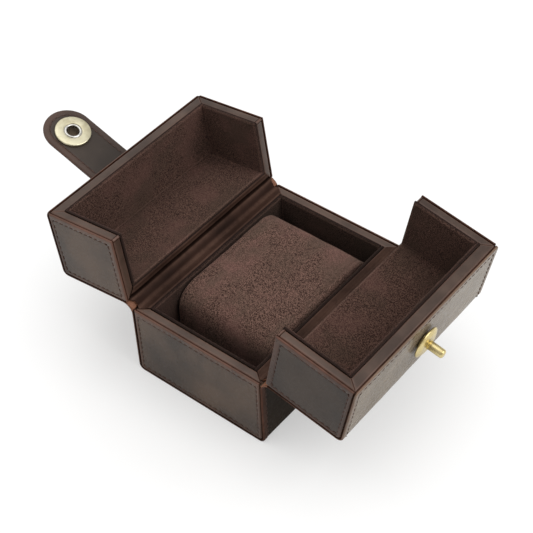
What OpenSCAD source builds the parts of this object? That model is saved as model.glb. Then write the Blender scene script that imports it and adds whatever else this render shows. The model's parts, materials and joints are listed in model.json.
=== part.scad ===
// Watch travel case: a leather-covered box whose two half lids open outwards on leather hinges.
// A strap on the left lid snaps over a stud on the right lid, and a pillow in the base holds the watch.
// Millimetres, +Z up, +X towards the right lid, hinges along Y, origin in the middle of the underside.
// Lids are drawn shut and then turned about their hinge lines to the angle they are left open at.

/* [Case] */
// Length of the case along its hinges
case_length = 105; // [92:1:130]
// Width of the shut case across both lids
case_width = 74.5; // [68:0.5:90]
// Height of the base from the table to its rim
base_height = 39.6; // [34:0.2:50]
// Height of each lid's side wall
lid_height = 41; // [36:0.5:50]
// Radius of the four long outer edges, which the leather wraps round
corner_radius = 3; // [2:0.1:4]

/* [Walls] */
// Thickness of the outer leather
leather = 1.2; // [0.8:0.1:1.4]
// Thickness of the board in the side walls and the lid tops
side_board = 5.6; // [4:0.1:6.5]
// Thickness of the board in the end walls
end_board = 4.3; // [3:0.1:6]
// Thickness of the board in the floor
floor_board = 4; // [3:0.1:5]
// Thickness of the leather strips on the rims
rim_leather = 1.2; // [0.8:0.1:2]
// Thickness of the suede-covered liner boards
liner = 1.6; // [1.4:0.1:3]
// Height that a liner's edge stands above the rim
liner_proud = 0.3; // [0.1:0.05:0.4]
// Radius of the liners' soft top edges
liner_edge = 0.7; // [0.3:0.1:0.7]

/* [Lids] */
// Gap between the base rim and a shut lid
rim_gap = 1.2; // [1.1:0.05:2]
// Gap between the two shut lids
seam_gap = 1.6; // [1:0.1:2.4]
// Angle that the left lid is left open at
left_lid_angle = 97.3; // [92:0.1:105]
// Angle that the right lid is left open at
right_lid_angle = 101.2; // [92:0.1:105]

/* [Hinges] */
// Distance of the hinge line outside the side wall
hinge_offset = 1.15; // [1.05:0.05:2]
// Thickness of the outer hinge leather
spine_leather = 0.9; // [0.6:0.1:1]
// Height of the fold of outer leather on each side of the hinge line
spine_leaf = 2.6; // [2:0.1:5]
// Clearance round the roll of leather on the hinge line
roll_clearance = 0.15; // [0.1:0.05:0.3]
// Thickness of the soft leather inside the hinge
gusset_leather = 0.5; // [0.3:0.05:0.5]
// Distance of the hinge leathers' cut ends from the ends of the case
hinge_end = 1; // [0.5:0.1:4]

/* [Strap] */
// Width of the strap
strap_width = 25; // [22:0.2:28]
// Distance of the strap's round end beyond the middle of the socket
strap_overrun = 2.2; // [0:0.1:6]
// Thickness of each of the strap's two leather layers
strap_layer = 1.35; // [1:0.05:1.6]
// Distance of the strap's bend line from the lid's outer side
strap_seat = 16.9; // [12:0.1:19]
// Distance of the sewn tail from the lid's outer side
tail_margin = 2.6; // [2:0.1:4]
// Radius of the sewn tail's corners
tail_corner = 3; // [1:0.1:5]
// Clearance between the sewn tail and the roll at the bend
bend_clearance = 0.45; // [0.35:0.05:1]
// Angle between the resting strap and the lid's top
strap_angle = 64.1; // [40:0.1:80]

/* [Stud] */
// Distance of the stud from the edge of the lid's top
stud_seat = 16.8; // [14:0.1:20]
// Radius of the stud's plate
plate_radius = 7.7; // [6:0.1:8.4]
// Thickness of the stud's plate
plate_thickness = 2.1; // [1:0.1:2.6]
// Height of the plate's underside over the leather
plate_standoff = 0.9; // [0.5:0.1:2.5]
// Radius of the boss under the plate
boss_radius = 4.4; // [3:0.1:5.5]
// Radius of the stud's post
post_radius = 2.1; // [1.8:0.05:2.3]
// Length of the post above the plate
post_length = 8; // [6:0.1:9]
// Radius of the rivet shank through the lid
shank_radius = 1.5; // [1:0.1:1.7]
// Clearance round the shank
shank_clearance = 0.1; // [0.05:0.05:0.3]
// Radius of the washer inside the lid
washer_radius = 6; // [4:0.1:8]
// Thickness of the washer inside the lid
washer_thickness = 0.8; // [0.6:0.1:1.2]
// Radius of the shank's riveted end
rivet_radius = 2.4; // [2:0.1:3.5]
// Height of the shank's riveted end
rivet_height = 0.5; // [0.3:0.1:0.8]
// Radius of the post's round tip edge
tip_radius = 1.2; // [0.6:0.1:1.6]

/* [Socket] */
// Radius of the socket's ring
socket_radius = 8.8; // [8.4:0.1:9.5]
// Height of the ring over the strap's underside
socket_proud = 1.4; // [1.2:0.1:1.6]
// Thickness of the pressed metal of the ring
ring_thickness = 0.4; // [0.3:0.05:0.5]
// Clearance between the post and the hole that takes it
hole_clearance = 0.3; // [0.2:0.05:0.5]
// Wall of the eyelet tube
eyelet_wall = 0.7; // [0.5:0.05:0.8]
// Width of the eyelet's rolled rim
eyelet_rim = 1.35; // [1.1:0.05:1.5]
// Height of the eyelet's rim over the ring
eyelet_proud = 0.2; // [0.1:0.05:0.3]
// Clearance round the eyelet's rim
eyelet_clearance = 0.15; // [0.1:0.05:0.3]
// Depth of the magnet's pocket in the strap
magnet_pocket = 0.7; // [0.4:0.05:0.9]
// Clearance over the ring when the strap is snapped down, and beyond the post's tip
snap_clearance = 0.2; // [0.1:0.05:0.4]
// Wall of the cap on the strap's outer face
cap_wall = 0.8; // [0.5:0.1:1.2]

/* [Pillow] */
// Gap between the pillow and the near end liner, where the watch band goes down
pillow_near_gap = 12.4; // [3:0.1:16]
// Gap between the pillow and the far end liner
pillow_far_gap = 5.8; // [3:0.1:16]
// Gap between the pillow and the left side liner
pillow_left_gap = 0.4; // [0.3:0.1:2]
// Gap between the pillow and the right side liner
pillow_right_gap = 1.6; // [0.3:0.1:2]
// Height of the pillow's top below the liners' edges
pillow_drop = 0; // [0:0.1:4]
// Radius of the pillow's ends, where the watch band bends
pillow_end_radius = 11; // [6:0.5:15]
// Radius of the pillow's side edges
pillow_side_radius = 2; // [2:0.5:6]
// Thickness of the pillow's suede cover
cover = 1.2; // [0.8:0.1:1.6]

/* [Hidden] */
$fn = 64;

left = -1;
right = 1;
near_end = -1;
far_end = 1;
leather_brown = [0.29, 0.25, 0.22];
rim_brown = [0.33, 0.28, 0.25];
suede_brown = [0.36, 0.25, 0.20];
pillow_brown = [0.45, 0.32, 0.27];
board_grey = [0.62, 0.56, 0.47];
foam_cream = [0.90, 0.86, 0.74];
gold = [0.90, 0.84, 0.62];
steel = [0.78, 0.78, 0.76];
magnet_grey = [0.30, 0.30, 0.31];

half_width = case_width / 2;
half_length = case_length / 2;
side_wall = leather + side_board;
end_wall = leather + end_board;
lid_bottom = base_height + rim_gap;
shut_height = lid_bottom + lid_height;
half_seam = seam_gap / 2;
far = 2 * (case_length + case_width + shut_height);

// The cavities that the boards leave, before the liners go in
cavity_x = half_width - side_wall;
cavity_y = half_length - end_wall;
floor_top = leather + floor_board;
lid_ceiling = shut_height - side_wall;
room_x = cavity_x - liner;
room_y = cavity_y - liner;
pad_top = floor_top + liner;

hinge_x = half_width + hinge_offset;
hinge_z = base_height + rim_gap / 2;
roll_radius = hinge_offset - roll_clearance;
half_run = half_length - hinge_end;
skin_x = half_width - leather;
skin_y = half_length - leather;
skin_z = shut_height - leather;

// The strap's bend line and the stud, on the shut lids
strap_thickness = 2 * strap_layer;
strap_lift = 0.05;
bend_x = half_width - strap_seat;
bend_z = shut_height + strap_lift + strap_layer;
stud_x = half_seam + stud_seat;
stud_face = shut_height + plate_standoff + plate_thickness;

// The strap snaps down at a slight slope, because the socket sits on top of the stud's plate.
// The socket's hole is wide enough for the upright post, and crosses it half way up.
snap_span = bend_x + stud_x;
socket_drop = strap_layer + socket_proud;
snap_rise = stud_face + snap_clearance - bend_z + socket_drop;
snap_angle = asin(snap_rise / (snap_span - socket_radius));
post_in_hole = post_length - snap_clearance - socket_radius * tan(snap_angle);
strap_reach = (snap_span - (socket_drop - post_in_hole / 2) * sin(snap_angle)) / cos(snap_angle);
strap_end = strap_reach + strap_overrun;

socket_hole = post_radius + post_in_hole / 2 * tan(snap_angle) + hole_clearance;
eyelet_tube = socket_hole + eyelet_wall;
eyelet_outer = socket_hole + eyelet_rim;
eyelet_top = post_length + snap_clearance - socket_drop;
magnet_radius = socket_radius - ring_thickness;
cap_top = eyelet_top + cap_wall;
cap_crown = eyelet_tube + 2 * cap_wall;

pillow_width = 2 * room_x - pillow_left_gap - pillow_right_gap;
pillow_length = 2 * room_y - pillow_near_gap - pillow_far_gap;
pillow_x = (pillow_left_gap - pillow_right_gap) / 2;
pillow_y = (pillow_near_gap - pillow_far_gap) / 2;
pillow_top = base_height + liner_proud - pillow_drop;

// --- shapes used by several pieces ---

// A rectangle with round corners, centred
module rounded(size, radius) {
    square([size.x - 2 * radius, size.y], center = true);
    square([size.x, size.y - 2 * radius], center = true);
    for (x = [-1, 1], y = [-1, 1])
        translate([x * (size.x / 2 - radius), y * (size.y / 2 - radius)])
            circle(radius);
}

// A board's section, from the origin upwards, with a soft upper edge
module soft_edged(thickness, height) {
    square([thickness, height - liner_edge]);
    translate([liner_edge, 0])
        square([thickness - 2 * liner_edge, height]);
    for (x = [liner_edge, thickness - liner_edge])
        translate([x, height - liner_edge])
            circle(liner_edge);
}

// Half the section of a round plate or knob from z = 0 upwards, with a round outer edge
module half_section(outer, height, edge) {
    square([outer, height - edge]);
    square([outer - edge, height]);
    intersection() {
        translate([outer - edge, height - edge])
            circle(edge);
        square([outer, height]);
    }
}

// A block from one corner to the opposite one
module block(low, high) {
    translate(low)
        cube(high - low);
}

// A section drawn in X and Z, drawn out along Y on both sides of the middle
module along_hinge(half) {
    rotate([90, 0, 0])
        linear_extrude(2 * half, center = true)
            children();
}

// A section drawn in Y and Z, drawn out along X from x = 0
module across_case(run) {
    rotate([90, 0, 90])
        linear_extrude(run)
            children();
}

// The shut case's section in X and Z, drawn in by an inset on every side
module case_section(inset) {
    translate([0, shut_height / 2])
        rounded([case_width - 2 * inset, shut_height - 2 * inset], corner_radius - inset);
}

// The whole shut case, drawn in by an inset on every side
module shut_case(inset) {
    along_hinge(half_length - inset)
        case_section(inset);
}

// The leather that goes round the shut case, with its cut edges flush with the end panels
module wrap_leather() {
    color(leather_brown)
        along_hinge(half_length)
            difference() {
                case_section(0);
                case_section(leather);
            }
}

// The panel on one end of the shut case, which fits between the edges of the leather round it
module end_leather(end) {
    color(leather_brown)
        translate([0, end * (half_length - leather / 2), 0])
            along_hinge(leather / 2)
                case_section(leather);
}

// --- base ---

module base_part() {
    intersection() {
        children();
        block([-far, -far, 0], [far, far, base_height]);
    }
}

module base_wrap_leather() {
    base_part()
        wrap_leather();
}

module base_front_leather() {
    base_part()
        end_leather(near_end);
}

module base_back_leather() {
    base_part()
        end_leather(far_end);
}

module base_board() {
    color(board_grey)
        difference() {
            intersection() {
                shut_case(leather);
                block([-far, -far, 0], [far, far, base_height - rim_leather]);
            }
            block([-cavity_x, -cavity_y, floor_top], [cavity_x, cavity_y, far]);
        }
}

// Four flat strips on the rim, mitred at the corners
module base_rim_strips() {
    corners = [[-1, -1], [1, -1], [1, 1], [-1, 1]];
    color(rim_brown)
        for (i = [0:3]) {
            a = corners[i];
            b = corners[(i + 1) % 4];
            intersection() {
                shut_case(leather);
                translate([0, 0, base_height - rim_leather])
                    linear_extrude(rim_leather)
                        polygon([[a.x * skin_x, a.y * skin_y], [b.x * skin_x, b.y * skin_y],
                                 [b.x * cavity_x, b.y * cavity_y], [a.x * cavity_x, a.y * cavity_y]]);
            }
        }
}

module base_side_liners() {
    color(suede_brown)
        for (x = [-cavity_x, room_x])
            translate([x, 0, floor_top])
                along_hinge(cavity_y)
                    soft_edged(liner, base_height + liner_proud - floor_top);
}

module base_end_liners() {
    color(suede_brown)
        for (y = [-cavity_y, room_y])
            translate([-room_x, y, floor_top])
                across_case(2 * room_x)
                    soft_edged(liner, base_height + liner_proud - floor_top);
}

module base_floor_pad() {
    color(suede_brown)
        block([-room_x, -room_y, floor_top], [room_x, room_y, pad_top]);
}

// --- hinges ---
// The leathers of a hinge are split at the hinge line into a leaf on the base and a leaf on the lid.

module on_side(side) {
    mirror([side == left ? 1 : 0, 0, 0])
        children();
}

// Outer leather on the base wall, with the roll that bends, concentric with the hinge line
module hinge_spine(side) {
    color(leather_brown)
        on_side(side)
            along_hinge(half_run) {
                translate([half_width, hinge_z - spine_leaf])
                    square([spine_leather, spine_leaf]);
                translate([hinge_x, hinge_z])
                    circle(roll_radius);
            }
}

// Soft leather that runs over the base rim into the crease
module hinge_gusset(side) {
    color(rim_brown)
        on_side(side)
            block([cavity_x, -half_run, base_height], [skin_x, half_run, base_height + gusset_leather]);
}

module left_hinge_spine() {
    hinge_spine(left);
}

module right_hinge_spine() {
    hinge_spine(right);
}

module left_hinge_gusset() {
    hinge_gusset(left);
}

module right_hinge_gusset() {
    hinge_gusset(right);
}

// --- lids ---
// Every lid piece is drawn on the shut right lid. on_lid opens it, and mirrors it for the left lid.

module on_lid(side) {
    opening = side == left ? left_lid_angle : right_lid_angle;
    on_side(side)
        translate([hinge_x, 0, hinge_z])
            rotate([0, opening, 0])
                translate([-hinge_x, 0, -hinge_z])
                    children();
}

module lid_half() {
    intersection() {
        children();
        block([half_seam, -far, lid_bottom], [far, far, far]);
    }
}

module lid_wrap_leather() {
    lid_half()
        wrap_leather();
}

module lid_end_leathers() {
    lid_half()
        for (end = [near_end, far_end])
            end_leather(end);
}

module lid_board() {
    color(board_grey)
        difference() {
            intersection() {
                shut_case(leather);
                block([half_seam + rim_leather, -far, lid_bottom + rim_leather], [far, far, far]);
            }
            block([-far, -cavity_y, -far], [cavity_x, cavity_y, lid_ceiling]);
        }
}

// A strip of the lid's lower rim, from its outline in X and Y
module lower_strip(outline) {
    translate([0, 0, lid_bottom])
        linear_extrude(rim_leather)
            polygon(outline);
}

// A strip of the lid's seam rim, from its outline in Y and Z
module seam_strip(outline) {
    translate([half_seam, 0, 0])
        across_case(rim_leather)
            polygon(outline);
}

// Six flat strips on the lid's two rims, mitred where they meet
module lid_rim_strips() {
    mitre = [[half_seam, lid_bottom], [half_seam + rim_leather, lid_bottom + rim_leather]];
    color(rim_brown)
        intersection() {
            shut_case(leather);
            union() {
                lower_strip([[skin_x, -skin_y], [skin_x, skin_y], [cavity_x, cavity_y], [cavity_x, -cavity_y]]);
                seam_strip([[-skin_y, skin_z], [skin_y, skin_z], [cavity_y, lid_ceiling],
                            [-cavity_y, lid_ceiling]]);
                for (y = [0, 1])
                    mirror([0, y, 0]) {
                        intersection() {
                            lower_strip([[0, cavity_y], [0, skin_y], [skin_x, skin_y], [cavity_x, cavity_y]]);
                            along_hinge(far)
                                polygon([mitre[0], mitre[1], [far, mitre[1].y], [far, mitre[0].y]]);
                        }
                        intersection() {
                            seam_strip([[cavity_y, 0], [skin_y, 0], [skin_y, skin_z], [cavity_y, lid_ceiling]]);
                            along_hinge(far)
                                polygon([mitre[0], mitre[1], [mitre[1].x, far], [mitre[0].x, far]]);
                        }
                    }
            }
        }
}

module lid_side_liner() {
    color(suede_brown)
        along_hinge(cavity_y)
            translate([room_x, lid_ceiling])
                mirror([0, 1])
                    soft_edged(liner, lid_ceiling - lid_bottom + liner_proud);
}

module lid_top_liner() {
    color(suede_brown)
        along_hinge(cavity_y)
            translate([room_x, lid_ceiling - liner])
                rotate(90)
                    soft_edged(liner, room_x - half_seam + liner_proud);
}

// The end liners have two soft edges, on the lower rim and on the seam
module lid_end_liners() {
    room_z = lid_ceiling - liner;
    color(suede_brown)
        for (y = [0, 1])
            mirror([0, y, 0])
                intersection() {
                    across_case(room_x)
                        translate([room_y, room_z])
                            mirror([0, 1])
                                soft_edged(liner, room_z - lid_bottom + liner_proud);
                    linear_extrude(room_z)
                        translate([room_x, room_y])
                            rotate(90)
                                soft_edged(liner, room_x - half_seam + liner_proud);
                }
}

module lid_spine_leaf() {
    color(leather_brown)
        block([half_width, -half_run, hinge_z + hinge_offset],
              [half_width + spine_leather, half_run, hinge_z + spine_leaf]);
}

module lid_gusset_leaf() {
    color(rim_brown)
        block([cavity_x, -half_run, lid_bottom - gusset_leather], [skin_x, half_run, lid_bottom]);
}

// --- left lid ---

module left_lid_board() {
    on_lid(left)
        lid_board();
}

module left_lid_wrap_leather() {
    on_lid(left)
        lid_wrap_leather();
}

module left_lid_end_leathers() {
    on_lid(left)
        lid_end_leathers();
}

module left_lid_rim_strips() {
    on_lid(left)
        lid_rim_strips();
}

module left_lid_side_liner() {
    on_lid(left)
        lid_side_liner();
}

module left_lid_top_liner() {
    on_lid(left)
        lid_top_liner();
}

module left_lid_end_liners() {
    on_lid(left)
        lid_end_liners();
}

module left_lid_spine_leaf() {
    on_lid(left)
        lid_spine_leaf();
}

module left_lid_gusset_leaf() {
    on_lid(left)
        lid_gusset_leaf();
}

// The sewn end of the strap, round at the corners away from the bend
module strap_tail() {
    root = bend_x + strap_layer + bend_clearance;
    tip = half_width - tail_margin;
    color(leather_brown)
        on_lid(left)
            translate([0, 0, shut_height])
                linear_extrude(strap_thickness)
                    intersection() {
                        translate([root, 0])
                            rounded([2 * (tip - root), strap_width], tail_corner);
                        translate([root, -strap_width / 2])
                            square([tip - root, strap_width]);
                    }
}

// --- right lid ---

// The hole for the stud's shank, and the recess for its washer and riveted end
module shank_hole() {
    translate([stud_x, 0, 0])
        cylinder(far, r = shank_radius + shank_clearance);
}

module right_lid_board() {
    on_lid(right)
        difference() {
            lid_board();
            shank_hole();
            translate([stud_x, 0, lid_ceiling])
                cylinder(2 * (washer_thickness + rivet_height), r = washer_radius + shank_clearance, center = true);
        }
}

module right_lid_wrap_leather() {
    on_lid(right)
        difference() {
            lid_wrap_leather();
            shank_hole();
        }
}

module right_lid_end_leathers() {
    on_lid(right)
        lid_end_leathers();
}

module right_lid_rim_strips() {
    on_lid(right)
        lid_rim_strips();
}

module right_lid_side_liner() {
    on_lid(right)
        lid_side_liner();
}

module right_lid_top_liner() {
    on_lid(right)
        lid_top_liner();
}

module right_lid_end_liners() {
    on_lid(right)
        lid_end_liners();
}

module right_lid_spine_leaf() {
    on_lid(right)
        lid_spine_leaf();
}

module right_lid_gusset_leaf() {
    on_lid(right)
        lid_gusset_leaf();
}

// --- stud, riveted through the right lid's top ---

module on_stud(height) {
    on_lid(right)
        translate([stud_x, 0, height])
            children();
}

module stud_plate() {
    color(gold)
        on_stud(shut_height)
            rotate_extrude()
                difference() {
                    union() {
                        square([boss_radius, plate_standoff + plate_thickness / 2]);
                        translate([0, plate_standoff])
                            half_section(plate_radius, plate_thickness, plate_thickness / 2);
                    }
                    square([2 * (shank_radius + shank_clearance), far], center = true);
                }
}

module stud_post() {
    shank_bottom = lid_ceiling - stud_face;
    color(gold)
        on_stud(stud_face)
            rotate_extrude() {
                half_section(post_radius, post_length, tip_radius);
                translate([0, shank_bottom])
                    square([shank_radius, -shank_bottom]);
                translate([0, shank_bottom])
                    square([rivet_radius, rivet_height]);
            }
}

module stud_washer() {
    color(steel)
        on_stud(lid_ceiling + rivet_height)
            rotate_extrude()
                translate([shank_radius, 0])
                    square([washer_radius - shank_radius, washer_thickness]);
}

// --- strap, bent up from the left lid's top ---
// The strap's own frame has its bend line at the origin, the strap along -X and its outer face up.

module on_strap() {
    on_lid(left)
        translate([bend_x, 0, bend_z])
            rotate([0, strap_angle, 0])
                children();
}

// One layer of the strap from its bottom to its top, with half of the round bend at its root
module strap_leather(bottom, top) {
    half_strap = strap_width / 2;
    difference() {
        union() {
            translate([0, 0, bottom])
                linear_extrude(top - bottom) {
                    translate([-strap_end, -half_strap])
                        square([strap_end, strap_width]);
                    translate([-strap_end, 0])
                        circle(half_strap);
                }
            intersection() {
                along_hinge(half_strap)
                    circle(strap_layer);
                block([-far, -far, bottom], [far, far, top]);
            }
        }
        translate([-strap_reach, 0, 0])
            cylinder(2 * strap_thickness, r = eyelet_tube, center = true);
    }
}

module strap_face() {
    color(leather_brown)
        on_strap()
            strap_leather(0, strap_layer);
}

// The underside layer holds the magnet in a pocket
module strap_lining() {
    color(leather_brown)
        on_strap()
            difference() {
                strap_leather(-strap_layer, 0);
                translate([-strap_reach, 0, -strap_layer])
                    cylinder(2 * magnet_pocket, r = magnet_radius, center = true);
            }
}

module on_socket() {
    on_strap()
        translate([-strap_reach, 0, 0])
            rotate_extrude()
                children();
}

// A pressed gold ring that cups the magnet
module socket_ring() {
    color(gold)
        on_socket()
            difference() {
                translate([0, -strap_layer])
                    mirror([0, 1])
                        half_section(socket_radius, socket_proud, ring_thickness);
                translate([0, -socket_drop])
                    square([eyelet_outer + eyelet_clearance, socket_proud]);
                translate([0, ring_thickness - socket_drop])
                    square([magnet_radius, socket_proud]);
            }
}

module socket_magnet() {
    color(magnet_grey)
        on_socket()
            translate([eyelet_tube, ring_thickness - socket_drop])
                square([magnet_radius - eyelet_tube, socket_drop - ring_thickness - strap_layer + magnet_pocket]);
}

// A tube with a rolled rim, which clamps the magnet and the strap against the cap
module socket_eyelet() {
    rim_height = ring_thickness + eyelet_proud;
    color(steel)
        on_socket()
            difference() {
                union() {
                    translate([0, ring_thickness - socket_drop])
                        mirror([0, 1])
                            half_section(eyelet_outer, rim_height, rim_height / 2);
                    translate([0, -socket_drop])
                        square([eyelet_tube, socket_drop + eyelet_top]);
                }
                translate([0, -far])
                    square([socket_hole, 2 * far]);
            }
}

// A hollow cap on the strap's outer face, which closes the hole
module socket_cap() {
    edge = socket_radius - cap_crown;
    color(gold)
        on_socket()
            translate([0, strap_layer])
                difference() {
                    half_section(socket_radius, cap_top - strap_layer, edge);
                    half_section(socket_radius - cap_wall, eyelet_top - strap_layer, edge - cap_wall);
                }
}

// --- pillow ---

// The pillow's form, drawn in by an inset on every side
module pillow_form(inset) {
    width = pillow_width - 2 * inset;
    length = pillow_length - 2 * inset;
    height = pillow_top - pad_top - 2 * inset;
    side_radius = pillow_side_radius - inset;
    translate([pillow_x, pillow_y, (pad_top + pillow_top) / 2])
        intersection() {
            linear_extrude(height, center = true)
                rounded([width, length], side_radius);
            along_hinge(length / 2)
                rounded([width, height], side_radius);
            translate([-width / 2, 0, 0])
                across_case(width)
                    rounded([length, height], pillow_end_radius - inset);
        }
}

module pillow_core() {
    color(foam_cream)
        pillow_form(cover);
}

module pillow_cover() {
    color(pillow_brown)
        difference() {
            pillow_form(0);
            pillow_form(cover);
        }
}

base_board();
base_wrap_leather();
base_front_leather();
base_back_leather();
base_rim_strips();
base_side_liners();
base_end_liners();
base_floor_pad();
left_hinge_spine();
right_hinge_spine();
left_hinge_gusset();
right_hinge_gusset();
left_lid_board();
left_lid_wrap_leather();
left_lid_end_leathers();
left_lid_rim_strips();
left_lid_side_liner();
left_lid_top_liner();
left_lid_end_liners();
left_lid_spine_leaf();
left_lid_gusset_leaf();
strap_tail();
right_lid_board();
right_lid_wrap_leather();
right_lid_end_leathers();
right_lid_rim_strips();
right_lid_side_liner();
right_lid_top_liner();
right_lid_end_liners();
right_lid_spine_leaf();
right_lid_gusset_leaf();
stud_plate();
stud_post();
stud_washer();
strap_face();
strap_lining();
socket_ring();
socket_eyelet();
socket_magnet();
socket_cap();
pillow_core();
pillow_cover();
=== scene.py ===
"""Dresses the watch travel case: leather panels, rim strips, suede liners, hinges, strap, snap and pillow."""

import json
import logging
import math
from dataclasses import dataclass, field
from enum import Enum
from typing import Callable, Iterable, Sequence

import bpy
import numpy as np
from mathutils import Matrix, Vector


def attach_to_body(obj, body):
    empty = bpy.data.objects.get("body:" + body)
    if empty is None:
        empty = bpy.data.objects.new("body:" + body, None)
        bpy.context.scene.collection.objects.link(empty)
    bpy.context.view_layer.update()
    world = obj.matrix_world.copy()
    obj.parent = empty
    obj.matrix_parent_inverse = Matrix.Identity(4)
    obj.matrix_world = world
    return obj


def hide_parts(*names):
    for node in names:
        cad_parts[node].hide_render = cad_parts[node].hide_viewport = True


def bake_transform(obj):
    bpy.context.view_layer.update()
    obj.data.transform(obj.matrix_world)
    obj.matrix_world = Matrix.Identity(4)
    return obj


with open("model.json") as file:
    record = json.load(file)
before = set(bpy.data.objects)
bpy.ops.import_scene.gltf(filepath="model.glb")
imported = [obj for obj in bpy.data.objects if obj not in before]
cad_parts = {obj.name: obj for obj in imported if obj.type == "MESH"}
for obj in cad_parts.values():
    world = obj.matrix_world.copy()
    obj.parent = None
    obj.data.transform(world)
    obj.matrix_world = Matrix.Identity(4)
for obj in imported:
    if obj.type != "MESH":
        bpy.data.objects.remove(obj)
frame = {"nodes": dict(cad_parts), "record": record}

LOG = logging.getLogger("watch_case")
MM = 0.001
Array = np.ndarray
Vec = Sequence[float]
Point = tuple[float, float]
Pair = tuple[float, float]
Four = tuple[float, float, float, float]
Corners = tuple[int, ...]
Piece = bpy.types.Object

X, Y, Z = (1, 0, 0), (0, 1, 0), (0, 0, 1)
NX, NY, NZ = (-1, 0, 0), (0, -1, 0), (0, 0, -1)


class Side(Enum):
    """The two lids. The value is the lid's direction along X."""

    LEFT = -1
    RIGHT = 1


# ---------------------------------------------------------------- sizes


@dataclass(frozen=True)
class CaseSizes:
    """Sizes of the case, in millimetres, as in the solids."""

    width: float = 74.5
    length: float = 105.0
    base_height: float = 39.6
    lid_bottom: float = 40.8
    shut_height: float = 81.8
    leather: float = 1.2
    side_wall: float = 6.8
    end_wall: float = 5.5
    floor_top: float = 5.2
    liner: float = 1.6
    proud: float = 0.3
    half_seam: float = 0.8
    hinge_x: float = 38.4
    hinge_z: float = 40.2
    left_angle: float = 97.3
    right_angle: float = 101.2

    @property
    def half_x(self) -> float:
        """Half the case's width."""
        return self.width / 2

    @property
    def half_y(self) -> float:
        """Half the case's length."""
        return self.length / 2

    @property
    def core_x(self) -> float:
        """Inner face of the outer leather's sides."""
        return self.half_x - self.leather

    @property
    def core_y(self) -> float:
        """Inner face of the end leathers."""
        return self.half_y - self.leather

    @property
    def rim_x(self) -> float:
        """Width of the rim strips along the sides."""
        return self.side_wall - self.leather

    @property
    def rim_y(self) -> float:
        """Width of the rim strips along the ends."""
        return self.end_wall - self.leather

    @property
    def cavity_x(self) -> float:
        """Inner face of the side boards."""
        return self.half_x - self.side_wall

    @property
    def cavity_y(self) -> float:
        """Inner face of the end boards."""
        return self.half_y - self.end_wall

    @property
    def room_x(self) -> float:
        """Inner face of the side liners."""
        return self.cavity_x - self.liner

    @property
    def room_y(self) -> float:
        """Inner face of the end liners."""
        return self.cavity_y - self.liner

    @property
    def ceiling(self) -> float:
        """Inner face of the lids' top boards."""
        return self.shut_height - self.side_wall

    def angle(self, side: Side) -> float:
        """How far a lid stands open, in degrees."""
        return self.left_angle if side is Side.LEFT else self.right_angle

    def opening(self, side: Side) -> Array:
        """Matrix that turns the shut right lid open, as far as a side's lid stands."""
        x, z = self.hinge_x, self.hinge_z
        return shift(x, 0, z) @ turn_y(self.angle(side)) @ shift(-x, 0, -z)


# ---------------------------------------------------------------- places


@dataclass(frozen=True)
class Place:
    """Where a body's pieces go: a matrix from the drawing's millimetres to the row frame's."""

    body: str
    matrix: Array
    mirrored: bool = False

    def points(self, local: Array) -> Array:
        """Moves drawn points, in millimetres, to the row frame, in metres."""
        return (local @ self.matrix[:3, :3].T + self.matrix[:3, 3]) * MM


def shift(x: float, y: float, z: float) -> Array:
    """Matrix of a move."""
    m = np.eye(4)
    m[:3, 3] = (x, y, z)
    return m


def turn_y(degrees: float) -> Array:
    """Matrix of a turn about Y."""
    c, s = math.cos(math.radians(degrees)), math.sin(math.radians(degrees))
    m = np.eye(4)
    m[0, 0], m[0, 2], m[2, 0], m[2, 2] = c, s, -s, c
    return m


def flip(side: Side) -> Array:
    """Matrix that brings what is drawn on the right to a side."""
    return np.diag([float(side.value), 1.0, 1.0, 1.0])


def lid_place(side: Side) -> Place:
    """Place of a lid's pieces, which are drawn on the shut right lid.

    Args:
        side: The lid.

    Returns:
        The place, mirrored for the left lid.
    """
    return Place(f"{side.name.lower()}_lid", flip(side) @ SIZES.opening(side), side is Side.LEFT)


SIZES = CaseSizes()
BASE = Place("base", np.eye(4))


# ---------------------------------------------------------------- meshes


@dataclass(frozen=True)
class Edge:
    """The rolled edge of a piece: the radius of its roll, and the roll's distance from the piece's end."""

    roll: float
    gap: float = 0.0

    def steps(self, count: int = 6) -> list[float]:
        """Distances from the piece's end that need lines of points."""
        return [self.gap + self.roll * (1 - math.cos(math.pi / 2 * i / count)) for i in range(count + 1)]

    def depth(self, distance: Array) -> Array:
        """Depth of the rolled face under the flat one, at distances from the piece's end."""
        left = np.clip((self.gap + self.roll - distance) / self.roll, 0, 1)
        return self.roll * (1 - np.sqrt(1 - left**2))


Edges = tuple[Edge, Edge, Edge, Edge]
BUTT = Edge(0.02)
OUT_OF_SIGHT = -1.0
OPEN_SURFACE = 5.0
ON_AXIS = 1e-6
Relief = Callable[[Array, Array, Array], Array]


@dataclass(frozen=True)
class Face:
    """A flat rectangle: a corner, the unit directions of its sides, and its length and width along them.

    It looks along the cross product of its directions.
    """

    origin: Vec
    along: Vec
    across: Vec
    size: Pair

    def at(self, x: Array, y: Array, depth: Array | float) -> Array:
        """Points at distances along both sides, and at a depth under the face."""
        o, u, v = (np.asarray(p, float) for p in (self.origin, self.along, self.across))
        x, y, depth = (np.asarray(p, float)[..., None] for p in (x, y, depth))
        return o + x * u + y * v - depth * np.cross(u, v)


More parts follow.
